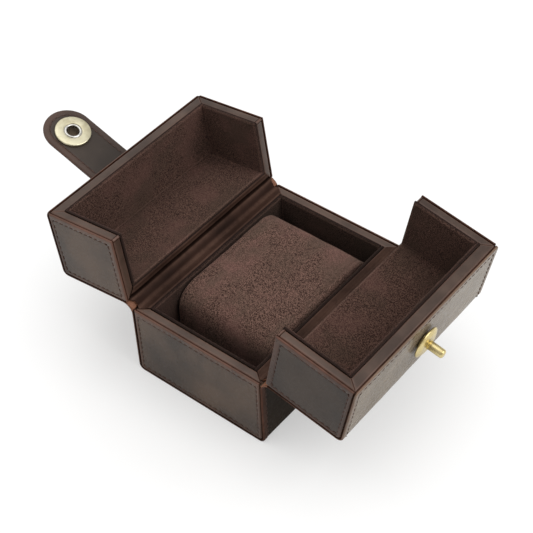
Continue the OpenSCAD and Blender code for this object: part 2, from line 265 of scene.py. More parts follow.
@dataclass
class Shell:
    """Points and faces of a piece, in millimetres, with one value per point for its finish."""

    points: list[Array] = field(default_factory=list)
    faces: list[Corners] = field(default_factory=list)
    inset: list[Array] = field(default_factory=list)
    paints: list[int] = field(default_factory=list)
    count: int = 0

    def add(
        self, points: Array, faces: Sequence[Corners], inset: Array, paints: Sequence[int] | int = 0
    ) -> None:
        """Adds points and faces.

        Args:
            points: New points.
            faces: Faces that count the new points from 0.
            inset: Distance of each point from its panel's edge.
            paints: Material index of each face, or of all.
        """
        self.points.append(np.asarray(points, float))
        self.faces.extend(tuple(int(i) + self.count for i in f) for f in faces)
        self.inset.append(np.asarray(inset, float))
        self.paints.extend([paints] * len(faces) if isinstance(paints, int) else paints)
        self.count += len(points)

    def panel(
        self,
        face: Face,
        thickness: float,
        edges: Edges,
        slants: Pair = (0.0, 0.0),
        marks: Vec = (),
        step: float = 4.0,
        corners: Four = (0.0, 0.0, 0.0, 0.0),
        relief: Relief | None = None,
        pads: Four = (0.0, 0.0, 0.0, 0.0),
    ) -> None:
        """Adds a flat panel with rolled edges.

        Args:
            face: The rectangle that it fills.
            thickness: Thickness of the panel.
            edges: Edges at the start, at the end, at the origin's side and at the opposite side.
            slants: How much each end moves in per millimetre across.
            marks: Distances from the edges at which extra lines of points go.
            step: Greatest distance between lines.
            corners: Radii of the corners, from the origin's along the first direction and round.
            relief: Extra depth from the two coordinates and the distance to the edge.
            pads: How much further the border reaches past each edge, in the order of the edges.
        """
        length, width = face.size
        xs = _lines(length, edges[0], edges[1], marks, step)
        ys = _lines(width, edges[2], edges[3], marks, step)
        px = edges[0].depth(xs) + edges[1].depth(length - xs)
        py = edges[2].depth(ys) + edges[3].depth(width - ys)
        x, y = np.meshgrid(xs, ys, indexing="ij")
        to_ends = np.minimum(x + pads[0], length - x + pads[1])
        inside = np.minimum(to_ends, np.minimum(y + pads[2], width - y + pads[3]))
        depth = _joined(px[:, None], py[None, :])
        if relief:
            depth = depth + relief(x, y, inside)
        x, y = _rounded(x, y, length, width, corners)
        x = _slanted(x, y, length, slants)
        index = np.arange(x.size).reshape(x.shape)
        faces, ring = _quads(index), _ring(index)
        bottom = face.at(x.ravel()[ring], y.ravel()[ring], thickness)
        total, m = x.size, len(ring)
        faces += [(ring[k], total + k, total + (k + 1) % m, ring[(k + 1) % m]) for k in range(m)]
        faces.append(tuple(total + k for k in range(m - 1, -1, -1)))
        points = np.concatenate([face.at(x, y, depth).reshape(-1, 3), bottom])
        self.add(points, faces, np.concatenate([inside.ravel(), np.full(m, OUT_OF_SIGHT)]))

    def lathe(self, profile: Sequence[Point], centre: Vec, segments: int = 96, shaded: int = 0) -> None:
        """Adds a solid that is turned about an upright axis.

        Args:
            profile: Closed outline of the section, as radius and height.
            centre: Point on the axis at height 0.
            segments: Number of steps round the axis.
            shaded: Number of the outline's last lines that get the second finish.
        """
        turns = np.arange(segments) * 2 * math.pi / segments
        points: list[Array] = []
        rings: list[list[int]] = []
        for radius, height in profile:
            steps = turns if radius > ON_AXIS else turns[:1]
            ring = [(radius * math.cos(t), radius * math.sin(t), -height) for t in steps]
            here = list(np.asarray(centre) - ring)
            rings.append(list(range(len(points), len(points) + len(here))))
            points.extend(here)
        faces: list[Corners] = []
        paints: list[int] = []
        for row, (low, high) in enumerate(zip(rings, rings[1:] + rings[:1])):
            if len(low) == 1 and len(high) == 1:
                continue
            paints += [int(row >= len(rings) - shaded)] * segments
            for k in range(segments):
                j = (k + 1) % segments
                if len(low) == 1:
                    faces.append((low[0], high[j], high[k]))
                elif len(high) == 1:
                    faces.append((low[k], low[j], high[0]))
                else:
                    faces.append((low[k], low[j], high[j], high[k]))
        faces = outwards(np.array(points), faces)
        self.add(np.array(points), faces, np.full(len(points), OPEN_SURFACE), paints)


def _quads(index: Array) -> list[Corners]:
    """Faces of a grid of points."""
    rows, cols = index.shape
    return [
        (index[i, j], index[i + 1, j], index[i + 1, j + 1], index[i, j + 1])
        for i in range(rows - 1)
        for j in range(cols - 1)
    ]


def _ring(index: Array) -> Array:
    """Points round the edge of a grid, in order."""
    return np.concatenate([index[:, 0], index[-1, 1:], index[-2::-1, -1], index[0, -2:0:-1]])


def _lines(length: float, first: Edge, last: Edge, marks: Vec, step: float) -> Array:
    """Places of the lines of points over a length, close together at its edges.

    Args:
        length: The length.
        first: Edge at its start.
        last: Edge at its end.
        marks: Distances from both ends at which extra lines go.
        step: Greatest distance between lines.

    Returns:
        Distances from the start, in order.
    """
    head, tail = first.steps(), last.steps()
    head = head + [m for m in marks if head[-1] + 0.05 < m < length / 2 - 0.5]
    tail = tail + [m for m in marks if tail[-1] + 0.05 < m < length / 2 - 0.5]
    low, high = head[-1], length - tail[-1]
    count = max(1, math.ceil((high - low) / step))
    middle = [low + (high - low) * k / count for k in range(1, count)]
    return np.array(head + middle + [length - m for m in reversed(tail)])


def _joined(a: Array, b: Array) -> Array:
    """Depth where two rolled edges meet, with a soft line between them."""
    return np.power(np.power(a, 6) + np.power(b, 6), 1 / 6)


def _arc_in(a: Array, b: Array, radius: float) -> tuple[Array, Array, Array]:
    """Draws a square corner in to an arc.

    Args:
        a: Distances from one side.
        b: Distances from the other side.
        radius: Radius of the arc.

    Returns:
        Which points lie in the corner, and where both distances come to for those.
    """
    here = (a < radius) & (b < radius)
    p, q = 1 - a / radius, 1 - b / radius
    scale = np.maximum(p, q) / np.maximum(np.hypot(p, q), 1e-9)
    return here, radius * (1 - p * scale), radius * (1 - q * scale)


def _rounded(x: Array, y: Array, length: float, width: float, corners: Vec) -> tuple[Array, Array]:
    """Draws the corners of a grid in to arcs, and keeps each point's distance to the edge."""
    for radius, far_x, far_y in zip(corners, (False, True, True, False), (False, False, True, True)):
        if radius:
            px = length - x if far_x else x
            py = width - y if far_y else y
            here, arc_x, arc_y = _arc_in(px, py, radius)
            px, py = np.where(here, arc_x, px), np.where(here, arc_y, py)
            x, y = length - px if far_x else px, width - py if far_y else py
    return x, y


def _slanted(x: Array, y: Array, length: float, slants: Pair) -> Array:
    """Moves the ends of a grid in for a mitre, and spreads the change over the middle of its length."""
    reach = min(0.35 * length, 8.0)
    start, end = slants[0] * y, length - slants[1] * y
    t = np.clip((x - reach) / (length - 2 * reach), 0, 1)
    middle = (1 - t) * (start + reach) + t * (end - reach)
    return np.where(x < reach, x + start, np.where(x > length - reach, x - length + end, middle))


def ripple(x: Array, y: Array, seed: int, scale: float) -> Array:
    """Smooth uneven field between about -1 and 1.

    Args:
        x: First coordinate.
        y: Second coordinate.
        seed: Seed of the pattern.
        scale: Size of its waves, in millimetres.

    Returns:
        The field's value at each point.
    """
    draw = np.random.default_rng(seed)
    waves = 7
    total = np.zeros_like(x, dtype=float)
    for _ in range(waves):
        heading = draw.uniform(0, 2 * math.pi)
        rate = draw.uniform(0.6, 1.7) * 2 * math.pi / scale
        start = draw.uniform(0, 6.28)
        total = total + np.sin(rate * (x * math.cos(heading) + y * math.sin(heading)) + start)
    return total / (waves / 2)


def run_along(points: Array) -> Array:
    """Distance along a path at each of its points."""
    return np.concatenate([[0], np.cumsum(np.linalg.norm(np.diff(points, axis=0), axis=1))])


def nearest(path: Array, point: Point) -> int:
    """Number of a path's point that is nearest to a point."""
    return int(np.argmin(np.hypot(path[:, 0] - point[0], path[:, 1] - point[1])))


@dataclass
class Sheet:
    """A sheet of leather that follows a path in X and Z and runs along Y, with its face on the path's right.

    The path's points are close together. Its reach is half the sheet's length along Y at each of them.
    Stretches of it between the two raw distances show raw leather.
    """

    path: Array
    reach: Array
    thickness: Array
    start: Edge = BUTT
    stop: Edge = Edge(0.3)
    ends: Edge = Edge(0.3)
    marks: Vec = ()
    step: float = 3.5
    relief: Relief | None = None
    raw: Pair = (0.0, 0.0)
    raw_depth: float = 5.0
    corner: float = 0.0
    # Gives the value that the finish reads as the distance from an edge: the hinge's wear and painted shade.
    wear_and_shade: Callable[[Array, Array], Array] | None = None
    run: Array = field(init=False)
    normals: Array = field(init=False)

    def __post_init__(self) -> None:
        """Measures the path."""
        self.run = run_along(self.path)
        t = np.gradient(self.path, axis=0)
        t /= np.linalg.norm(t, axis=1)[:, None]
        self.normals = np.stack([t[:, 1], -t[:, 0]], axis=1)

    def stations(self) -> Array:
        """Distances along the path that get lines of points, close together at its turns and edges."""
        turn, clear = 0.15, 0.35
        heading = np.unwrap(np.arctan2(self.normals[:, 1], self.normals[:, 0]))
        cost = np.diff(self.run) / self.step + np.abs(np.diff(heading)) / turn
        cost = np.concatenate([[0], np.cumsum(cost)])
        even = np.interp(np.linspace(0, cost[-1], math.ceil(cost[-1]) + 1), cost, self.run)
        total, tail = self.run[-1], self.stop.steps()
        tail = tail + [m for m in self.marks if m > tail[-1] + 0.05]
        fixed = np.array(self.start.steps() + [total - m for m in tail])
        apart = np.min(np.abs(even[:, None] - fixed[None, :]), axis=1) > clear
        return np.sort(np.concatenate([fixed, even[apart & (even < total - tail[-1])]]))

    def at(self, run: Array, y: Array, depth: Array | float) -> Array:
        """Points of the sheet.

        Args:
            run: Distances along the path.
            y: Places along Y.
            depth: Depth under the sheet's face.

        Returns:
            The points, in millimetres.
        """
        x, z = (np.interp(run, self.run, self.path[:, k]) for k in (0, 1))
        nx, nz = (np.interp(run, self.run, self.normals[:, k]) for k in (0, 1))
        size = np.hypot(nx, nz)
        return np.stack([x - depth * nx / size, y + 0 * x, z - depth * nz / size], axis=-1)

    def add_to(self, shell: Shell) -> None:
        """Adds the sheet's points and faces to a shell."""
        widest = float(self.reach.max())
        s = self.stations()
        reach = np.interp(s, self.run, self.reach)[:, None]
        across = _lines(2 * widest, self.ends, self.ends, self.marks, self.step) - widest
        y = across[None, :] * reach / widest
        run = np.broadcast_to(s[:, None], y.shape)
        side, stop = reach - np.abs(y), self.run[-1] - run
        depth = _joined(self.ends.depth(side), self.start.depth(run) + self.stop.depth(stop))
        inside = np.minimum(side, stop if self.start is BUTT else np.minimum(run, stop))
        if self.relief:
            depth = depth + self.relief(y + widest, run, inside)
        thick = np.broadcast_to(np.interp(s, self.run, self.thickness)[:, None], y.shape)
        if self.corner:
            here, arc_side, arc_stop = _arc_in(side, stop, self.corner)
            y = np.where(here, np.sign(y) * (reach - arc_side), y)
            run = np.where(here, self.run[-1] - arc_stop, run)
        tuck = np.clip(1 - 0.25 / reach * (side < 0.2), 0, 1)
        top, low = self.at(run, y, depth), self.at(run, y * tuck, thick)
        points = np.concatenate([top.reshape(-1, 3), low.reshape(-1, 3)])
        faces, paints = self._faces(s, side)
        # For the hinge, wear and painted shade; for other sheets, the distance from the edge.
        wear_and_shade = self.wear_and_shade(run, inside) if self.wear_and_shade else np.maximum(inside, 0)
        hidden = np.full(y.size, OUT_OF_SIGHT)
        shell.add(points, outwards(points, faces), np.concatenate([wear_and_shade.ravel(), hidden]), paints)

    def _faces(self, s: Array, side: Array) -> tuple[list[Corners], list[int]]:
        """Faces of the grid, of the one under it, and of the edge between them, each with its finish.

        Args:
            s: Distance along the path of each line of points.
            side: Distance of each point from the sheet's nearer end.

        Returns:
            The faces and their material indices.
        """
        n, cols = side.size, side.shape[1]
        index = np.arange(n).reshape(side.shape)
        upper, ring = _quads(index), _ring(index)
        faces, paints = upper + [f[::-1] for f in _quads(index + n)], [0] * len(upper)
        for f in faces[len(upper) :]:
            row, col = divmod(f[0] - n, cols)
            paints.append(int(self.raw[0] < s[row] < self.raw[1] and side[row, col] < self.raw_depth))
        for a, b in zip(ring, np.roll(ring, -1)):
            faces.append((a, a + n, b + n, b))
            at_end = a % cols in (0, cols - 1) and b % cols in (0, cols - 1)
            middle = (s[a // cols] + s[b // cols]) / 2
            paints.append(int(at_end and self.raw[0] < middle < self.raw[1]))
        return faces, paints


def signed_volume(points: Array, faces: Sequence[Corners]) -> float:
    """Volume that the faces close in, which is negative where they point inwards."""
    total = 0.0
    for f in faces:
        for k in range(1, len(f) - 1):
            total += float(np.dot(points[f[0]], np.cross(points[f[k]], points[f[k + 1]])))
    return total / 6


def outwards(points: Array, faces: list[Corners]) -> list[Corners]:
    """Faces of a closed piece, turned round if they point inwards."""
    return [f[::-1] for f in faces] if signed_volume(points, faces) < 0 else faces


def oval(centre: Point, radii: Pair, degrees: Iterable[float]) -> list[Point]:
    """Points of an oval, or of a circle where both radii are the same, at angles in degrees."""
    turns = [math.radians(a) for a in degrees]
    return [(centre[0] + radii[0] * math.cos(t), centre[1] + radii[1] * math.sin(t)) for t in turns]


def rounded_path(corners: Sequence[Point], radii: Vec, step: float = 0.2) -> Array:
    """Straight lines between points in X and Z, with an arc in place of each corner.

    Args:
        corners: Start, corners and end.
        radii: Radius of each corner's arc.
        step: Distance between the samples.

    Returns:
        Samples of the path.
    """
    p = np.array(corners, float)
    out = [p[0]]
    for before, here, after, radius in zip(p, p[1:], p[2:], radii):
        a, b = ((q - here) / np.linalg.norm(q - here) for q in (before, after))
        half = math.acos(float(np.dot(a, b))) / 2
        centre = here + (a + b) / np.linalg.norm(a + b) * radius / math.sin(half)
        first = here + a * radius / math.tan(half) - centre
        way = math.copysign(math.pi - 2 * half, first[1] * a[0] - first[0] * a[1])
        for t in np.linspace(0, way, 40):
            c, s = math.cos(t), math.sin(t)
            out.append(centre + np.array([first[0] * c - first[1] * s, first[0] * s + first[1] * c]))
    out.append(p[-1])
    line = np.array(out)
    run = run_along(line)
    even = np.linspace(0, run[-1], math.ceil(run[-1] / step) + 1)
    return np.stack([np.interp(even, run, line[:, k]) for k in (0, 1)], axis=1)


def smooth_path(points: Sequence[Point], step: float = 0.25) -> Array:
    """Curve through points, sampled at about even steps.

    Args:
        points: Points in X and Z.
        step: Distance between the samples.

    Returns:
        Samples of the curve.
    """
    p = np.array(points, float)
    p = np.concatenate([[2 * p[0] - p[1]], p, [2 * p[-1] - p[-2]]])
    out: list[Array] = []
    for k in range(1, len(p) - 2):
        a, b, c, d = p[k - 1 : k + 3]
        slope, pull, twist = c - a, 2 * a - 5 * b + 4 * c - d, 3 * b - a - 3 * c + d
        count = max(2, int(np.linalg.norm(c - b) / step))
        for t in (i / count for i in range(count)):
            out.append(0.5 * (2 * b + slope * t + pull * t * t + twist * t**3))
    out.append(p[-2])
    return np.array(out)


# ---------------------------------------------------------------- finishes


NodeSocket = bpy.types.NodeSocket
Value = NodeSocket | float | Vec
Colour = tuple[float, float, float]
EVEN = (1.0, 1.0, 1.0)


class Graph:
    """The nodes of one tree, made and joined by name."""

    def __init__(self, tree: bpy.types.NodeTree, prefix: str = "") -> None:
        """Starts with a tree, which it empties.

        Args:
            tree: The tree.
            prefix: What Blender's names of the node types that it uses start with.
        """
        self.tree = tree
        self.prefix = prefix
        self.tree.nodes.clear()

    def node(
        self, kind: str, inputs: dict[str | int, Value] | None = None, **settings: object
    ) -> bpy.types.Node:
        """Adds a node.

        Args:
            kind: Blender's name of the node type, after the prefix.
            inputs: Values or sockets for its inputs, by name or number.
            **settings: Properties of the node.

        Returns:
            The node.
        """
        node = self.tree.nodes.new(self.prefix + kind)
        for key, value in settings.items():
            setattr(node, key, value)
        for key, value in (inputs or {}).items():
            self.set(node.inputs[key], value)
        return node

    def set(self, socket: NodeSocket, value: Value) -> None:
        """Joins a socket to another one, or gives it a value."""
        if isinstance(value, NodeSocket):
            self.tree.links.new(value, socket)
        else:
            socket.default_value = value


class Coat(Graph):
    """The nodes of a material: one main shader and the patterns that drive it."""

    def __init__(self, name: str) -> None:
        """Starts an empty material."""
        self.material = bpy.data.materials.new(name)
        self.material.use_nodes = True
        super().__init__(self.material.node_tree, "ShaderNode")
        self.shader = self.node("BsdfPrincipled")
        self.output = self.node("OutputMaterial", {0: self.shader.outputs[0]})

    def shade(self, **inputs: Value) -> None:
        """Sets inputs of the main shader, with _ in place of the spaces in their names."""
        for key, value in inputs.items():
            self.set(self.shader.inputs[key.replace("_", " ")], value)

    def place(self) -> NodeSocket:
        """Object coordinates."""
        return self.node("TexCoord").outputs["Object"]

    def inset(self) -> NodeSocket:
        """Each point's distance from its panel's edge, in millimetres."""
        return self.node("Attribute", attribute_name="inset").outputs["Fac"]

    def noise(
        self, size: float, detail: float = 3.0, rough: float = 0.55, stretch: Vec = EVEN
    ) -> NodeSocket:
        """Noise whose lumps have a size in millimetres."""
        mapped = self.node("Mapping", {"Vector": self.place(), "Scale": stretch}).outputs[0]
        inputs = {"Vector": mapped, "Scale": 1 / MM / size, "Detail": detail, "Roughness": rough}
        return self.node("TexNoise", inputs).outputs["Fac"]

    def ramp(
        self, value: Value, low: float, high: float, start: float = 0.0, stop: float = 1.0
    ) -> NodeSocket:
        """Maps a value from one range to another, with smooth ends."""
        inputs = {0: value, 1: low, 2: high, 3: start, 4: stop}
        return self.node("MapRange", inputs, interpolation_type="SMOOTHSTEP").outputs[0]

    def maths(self, how: str, a: Value, b: Value = 0.0) -> NodeSocket:
        """Arithmetic on two values."""
        return self.node("Math", {0: a, 1: b}, operation=how).outputs[0]

    def times(self, a: Value, b: Value) -> NodeSocket:
        """Product of two values."""
        return self.maths("MULTIPLY", a, b)

    def apart(self, value: Value, middle: float) -> NodeSocket:
        """How far a value is from a middle one."""
        return self.maths("ABSOLUTE", self.maths("SUBTRACT", value, middle))

    def mixed(self, a: Value, share: float, b: Value) -> NodeSocket:
        """Sum of a share of one value and the rest of another."""
        return self.maths("ADD", self.times(a, share), self.times(b, 1 - share))

    def blend(self, share: Value, a: NodeSocket | Colour, b: NodeSocket | Colour) -> NodeSocket:
        """Mix of two colours."""
        made = self.node("Mix", data_type="RGBA")
        for number, value in ((0, share), (6, a), (7, b)):
            self.set(made.inputs[number], (*value, 1.0) if isinstance(value, tuple) else value)
        return made.outputs[2]

    def bump(self, height: NodeSocket, depth: float, strength: float = 1.0) -> None:
        """Bumps the shader's surface. The depth is in millimetres."""
        made = self.node("Bump", {"Height": height, "Distance": depth * MM, "Strength": strength})
        before = self.shader.inputs["Normal"]
        if before.is_linked:
            self.set(made.inputs["Normal"], before.links[0].from_socket)
        self.set(before, made.outputs[0])


@dataclass(frozen=True)
class Leather:
    """Waxed leather, dark in the middle of a panel, rubbed paler towards its edges, with painted shade in its
    stitch groove, and dark in the gaps: edge paint on cut edges, and painted shade where a sheet gives
    distances under 0.

    Where it has painted shade, it gets darker, duller and less glossy towards the case's middle, across a
    band
    along X in metres: painted shade on the part of a sheet that lies under a lid. The reach of its rubbed
    border and the sizes of its patterns are in millimetres.
    """

    name: str
    deep: Colour = (0.045, 0.0285, 0.0190)
    dull: Colour = (0.117, 0.0725, 0.0465)
    worn: Colour = (0.170, 0.076, 0.053)
    wall: Colour = (0.052, 0.0230, 0.0155)
    # Colour of the painted shade in the stitch groove.
    groove: Colour = (0.046, 0.0180, 0.0125)
    # Colour of the painted shade under a lid.
    shade_tone: Colour = (0.016, 0.0098, 0.0065)
    rub: float = 0.75
    reach: float = 2.9
    roughness: float = 0.25
    shine: float = 0.28
    groove_shade: float = 0.6
    # Strength of the painted shade under a lid, and the band along X over which it gives way.
    painted_shade: float = 0.0
    painted_shade_band: Pair = (0.046, 0.066)
    cloud: float = 14.0
    patch: float = 3.2
    drift: float = 34.0
    pores: float = 0.55

    def build(self) -> bpy.types.Material:
        """Makes the material."""
        g = Coat(self.name)
        inset = g.inset()
        cloud, patch = g.noise(self.cloud, 4.0), g.noise(self.patch, 5.0, 0.65)
        drift = g.noise(self.drift, 2.0, 0.5)
        body = g.blend(g.ramp(g.mixed(drift, 0.6, cloud), 0.36, 0.64), self.deep, self.dull)
        gloss: Value = self.shine
        # Painted shade: darker, duller and less glossy towards the case's middle.
        if self.painted_shade:
            across = g.node("SeparateXYZ", {0: g.place()}).outputs["X"]
            dim = g.ramp(across, *self.painted_shade_band, self.painted_shade, 0.0)
            body = g.blend(dim, body, self.shade_tone)
            gloss = g.maths("SUBTRACT", self.shine, g.times(dim, 0.9 * self.shine))
        line = g.times(g.ramp(inset, 0.25, 1.1, 1.0, 0.0), g.ramp(patch, 0.3, 0.6, 0.6, 1.0))
        border = g.ramp(inset, self.reach - 0.7, self.reach, 0.72, 0.0)
        border = g.times(border, g.ramp(cloud, 0.3, 0.7, 0.5, 1.0))
        share = g.times(g.maths("MAXIMUM", line, border), g.ramp(drift, 0.34, 0.64, 0.5, 1.0))
        share = g.times(share, self.rub)
        # Painted shade along the stitch groove.
        groove_shade = g.times(g.ramp(g.apart(inset, self.reach), 0.05, 0.5, 1.0, 0.0), self.groove_shade)
        rubbed = g.blend(groove_shade, g.blend(share, body, self.worn), self.groove)
        # Dark edge paint on cut edges and on faces out of sight; where a sheet gives distances under 0, the
        # same dark, rough, unglossy colour is painted shade.
        shut_in = g.ramp(inset, -0.55, 0.12, 1.0, 0.0)
        side = g.blend(g.ramp(patch, 0.35, 0.62), tuple(0.5 * c for c in self.wall), self.wall)
        rough = g.ramp(patch, 0.3, 0.7, self.roughness - 0.04, self.roughness + 0.06)
        rough = g.maths("ADD", rough, g.times(share, 0.14))
        g.shade(
            Base_Color=g.blend(shut_in, rubbed, side),
            Roughness=g.maths("ADD", rough, g.times(shut_in, 0.3)),
            Specular_IOR_Level=g.maths("SUBTRACT", gloss, g.times(shut_in, gloss)),
        )
        inputs = {"Vector": g.place(), "Scale": 1 / MM / self.pores, "Randomness": 1.0}
        g.bump(g.node("TexVoronoi", inputs, feature="SMOOTH_F1").outputs["Distance"], 0.018, 0.3)
        g.bump(patch, 0.06, 0.3)
        return g.material


@dataclass(frozen=True)
class Suede:
    """Brushed suede with a speckled nap, pale along its edges, and dark in the gaps from painted shade on its
    edge faces and on faces out of sight.

    The sizes of its patterns are in millimetres.
    """

    name: str
    dark: Colour = (0.0160, 0.0080, 0.0062)
    light: Colour = (0.118, 0.0650, 0.0495)
    warm: Colour = (0.110, 0.0550, 0.0450)
    dusk: Colour = (0.050, 0.0325, 0.0235)
    pale: Colour = (0.190, 0.115, 0.090)
    # Colour of the painted shade on edges and faces out of sight.
    gap: Colour = (0.010, 0.005, 0.004)
    bloom: Colour = (0.75, 0.58, 0.5)
    nap: float = 0.46
    fleck: float = 1.196
    cloud: float = 24.0
    brush: float = 17.0

    def build(self) -> bpy.types.Material:
        """Makes the material."""
        g = Coat(self.name)
        inset = g.inset()
        speck, fleck = g.noise(self.nap, 3.0, 0.7), g.noise(self.fleck, 3.0, 0.6)
        cloud, brush = g.noise(self.cloud), g.noise(self.brush, 4.0, 0.6, (1.0, 0.6, 1.0))
        grain = g.mixed(speck, 0.86, fleck)
        body = g.blend(g.ramp(grain, 0.445, 0.56), self.dark, self.light)
        flushed = g.blend(g.ramp(cloud, 0.46, 0.64, 0.0, 0.42), body, self.warm)
        brushed = g.blend(g.ramp(brush, 0.36, 0.54, 0.50, 0.0), flushed, self.dusk)
        crest = g.times(g.ramp(g.apart(inset, 0.7), 0.1, 0.6, 0.28, 0.0), g.ramp(speck, 0.3, 0.6, 0.4, 1.0))
        edged = g.blend(crest, brushed, self.pale)
        g.shade(
            # Painted shade on edges and faces out of sight.
            Base_Color=g.blend(g.ramp(inset, -0.3, 0.4, 0.85, 0.0), edged, self.gap),
            Roughness=0.95,
            Specular_IOR_Level=0.1,
            Sheen_Weight=0.09,
            Sheen_Roughness=0.5,
            Sheen_Tint=(*self.bloom, 1.0),
        )
        g.bump(grain, 0.36, 0.7)
        return g.material


@dataclass(frozen=True)
class Metal:
    """Plated metal with fine marks."""

    name: str
    colour: Colour
    shade: Colour
    roughness: float = 0.2

    def build(self) -> bpy.types.Material:
        """Makes the material."""
        g = Coat(self.name)
        fine, cloud = g.noise(0.35, 2.0), g.noise(4.0, 2.0)
        g.shade(
            Base_Color=g.blend(g.ramp(cloud, 0.35, 0.7), self.colour, self.shade),
            Metallic=1.0,
            Roughness=g.ramp(fine, 0.3, 0.7, self.roughness, self.roughness + 0.1),
        )
        g.bump(cloud, 0.03, 0.15)
        return g.material


@dataclass(frozen=True)
class Plain:
    """Matt material with two mixed tones, for thread, raw leather edges, board and foam."""

    name: str
    dark: Colour
    light: Colour
    grain: float
    depth: float = 0.05
    roughness: float = 0.8

    def build(self) -> bpy.types.Material:
        """Makes the material."""
        g = Coat(self.name)
        grain = g.noise(self.grain, 3.0, 0.6)
        g.shade(
            Base_Color=g.blend(g.ramp(grain, 0.32, 0.68), self.dark, self.light), Roughness=self.roughness
        )
        g.bump(grain, self.depth, 0.6)
        return g.material


class Finish(Enum):
    """Every finish of the case."""

    PANEL = Leather("panel_leather")
    # The panel leather darkened as painted shade, for the right lid's end panels.
    SHADED_PANEL = Leather(
        "shaded_panel_leather", deep=(0.025, 0.0150, 0.0098), dull=(0.051, 0.0318, 0.0205), shine=0.23
    )
    # The panel leather made much paler as painted light and reflection on the right lid's top, with painted
    # shade under the lid on the base's right wall.
    LIT_AND_SHADED_PANEL = Leather(
        "lit_and_shaded_panel_leather",
        deep=(0.175, 0.1340, 0.0910), dull=(0.262, 0.2040, 0.1430), shine=0.22, painted_shade=0.93,
    )
    RIM = Leather(
        "rim_leather",
        deep=(0.044, 0.0262, 0.0190), dull=(0.098, 0.0610, 0.0450), worn=(0.168, 0.084, 0.059),
        wall=(0.030, 0.014, 0.010), rub=0.7, reach=1.3, roughness=0.35, shine=0.33, groove_shade=0.0,
    )
    # Hinge leather darkened as painted shade in the recess between base and lid; its wall colour is the
    # painted shade in the creases, and its worn colour the rubbed ridges, partly painted highlight.
    HINGE = Leather(
        "hinge_leather",
        deep=(0.0150, 0.0074, 0.0053), dull=(0.033, 0.0158, 0.0112), worn=(0.100, 0.056, 0.041),
        wall=(0.007, 0.0036, 0.0026), reach=0.9, roughness=0.46, shine=0.03, groove_shade=0.0,
    )
    STRAP = Leather(
        "strap_leather",
        deep=(0.035, 0.0255, 0.0198), dull=(0.057, 0.0415, 0.0325), worn=(0.125, 0.066, 0.050),
        wall=(0.034, 0.016, 0.011), reach=3.3, roughness=0.42, shine=0.27, groove_shade=0.7,
    )
    SUEDE = Suede("liner_suede")
    # The liner suede darkened as painted shade inside the base's well.
    SHADED_WELL = Suede(
        "shaded_well_suede",
        dark=(0.0075, 0.0038, 0.0029), light=(0.062, 0.0352, 0.0266),
        warm=(0.059, 0.0300, 0.0240), dusk=(0.027, 0.0178, 0.0130),
    )
    PILLOW = Suede(
        "pillow_suede",
        dark=(0.0230, 0.0118, 0.0095), light=(0.185, 0.107, 0.083),
        warm=(0.190, 0.096, 0.082), dusk=(0.085, 0.058, 0.043),
    )
    THREAD = Plain("thread", (0.040, 0.020, 0.014), (0.115, 0.058, 0.040), 0.25, 0.06, 0.7)
    RAW = Plain("raw_leather_edge", (0.155, 0.062, 0.032), (0.27, 0.112, 0.058), 0.5, 0.08, 0.75)
    BOARD = Plain("fibre_board", (0.18, 0.13, 0.085), (0.30, 0.23, 0.16), 1.2)
    FOAM = Plain("foam", (0.62, 0.56, 0.42), (0.78, 0.72, 0.56), 0.8)
    GOLD = Metal("pale_gold", (0.70, 0.655, 0.475), (0.56, 0.51, 0.35), 0.28)
    BRASS = Metal("stud_gold", (0.70, 0.585, 0.30), (0.60, 0.485, 0.225), 0.22)
    NICKEL = Metal("nickel", (0.72, 0.71, 0.68), (0.60, 0.58, 0.54), 0.12)
    # Darker metal as painted shade inside the eyelet's hole and under the cap.
    SHADED_INSIDE = Metal("shaded_metal_inside", (0.50, 0.45, 0.385), (0.32, 0.285, 0.24), 0.4)
    STEEL = Metal("plain_steel", (0.55, 0.54, 0.52), (0.42, 0.41, 0.40), 0.35)


_MADE: dict[Finish, bpy.types.Material] = {}


def finish(kind: Finish) -> bpy.types.Material:
    """The material of a finish, made once."""
    if kind not in _MADE:
        _MADE[kind] = kind.value.build()
    return _MADE[kind]


# ---------------------------------------------------------------- pieces


def placed(name: str, data: bpy.types.ID) -> Piece:
    """Makes an object of some data and puts it into the scene."""
    made = bpy.data.objects.new(name, data)
    bpy.context.scene.collection.objects.link(made)
    return made


def note_inset(mesh: bpy.types.Mesh, inset: Array) -> None:
    """Stores each point's distance from its panel's edge, for the finishes."""
    values = inset.astype(np.float32)
    mesh.attributes.new("inset", "FLOAT", "POINT").data.foreach_set("value", values)


def corners_of(mesh: bpy.types.Mesh) -> Array:
    """Coordinates of a mesh's points, in metres."""
    flat = np.zeros(len(mesh.vertices) * 3)
    mesh.vertices.foreach_get("co", flat)
    return flat.reshape(-1, 3)


def piece(
    name: str,
    shell: Shell,
    place: Place,
    finishes: Sequence[Finish],
    nodes: Sequence[str] = (),
    crease: float = 50.0,
    attach: bool = True,
) -> Piece:
    """Makes an object from a shell and fixes it to its body.

    Args:
        name: Name of the piece.
        shell: Its points and faces.
        place: Where it goes.
        finishes: Its materials, in the order of the shell's paints.
        nodes: Nodes of the solid model that it stands for.
        crease: Angle, in degrees, over which an edge stays sharp.
        attach: Whether it rides on its body at once.

    Returns:
        The object.
    """
    faces = [f[::-1] for f in shell.faces] if place.mirrored else shell.faces
    mesh = bpy.data.meshes.new(name)
    mesh.from_pydata(place.points(np.concatenate(shell.points)).tolist(), [], faces)
    mesh.polygons.foreach_set("material_index", shell.paints)
    mesh.polygons.foreach_set("use_smooth", [True] * len(mesh.polygons))
    note_inset(mesh, np.concatenate(shell.inset))
    mesh.set_sharp_from_angle(angle=math.radians(crease))
    for kind in finishes:
        mesh.materials.append(finish(kind))
    mesh.update()
    made = placed(name, mesh)
    if attach:
        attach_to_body(made, place.body)
    if nodes:
        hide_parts(*nodes)
    LOG.info("%s: %d faces on %s", name, len(faces), place.body)
    return made


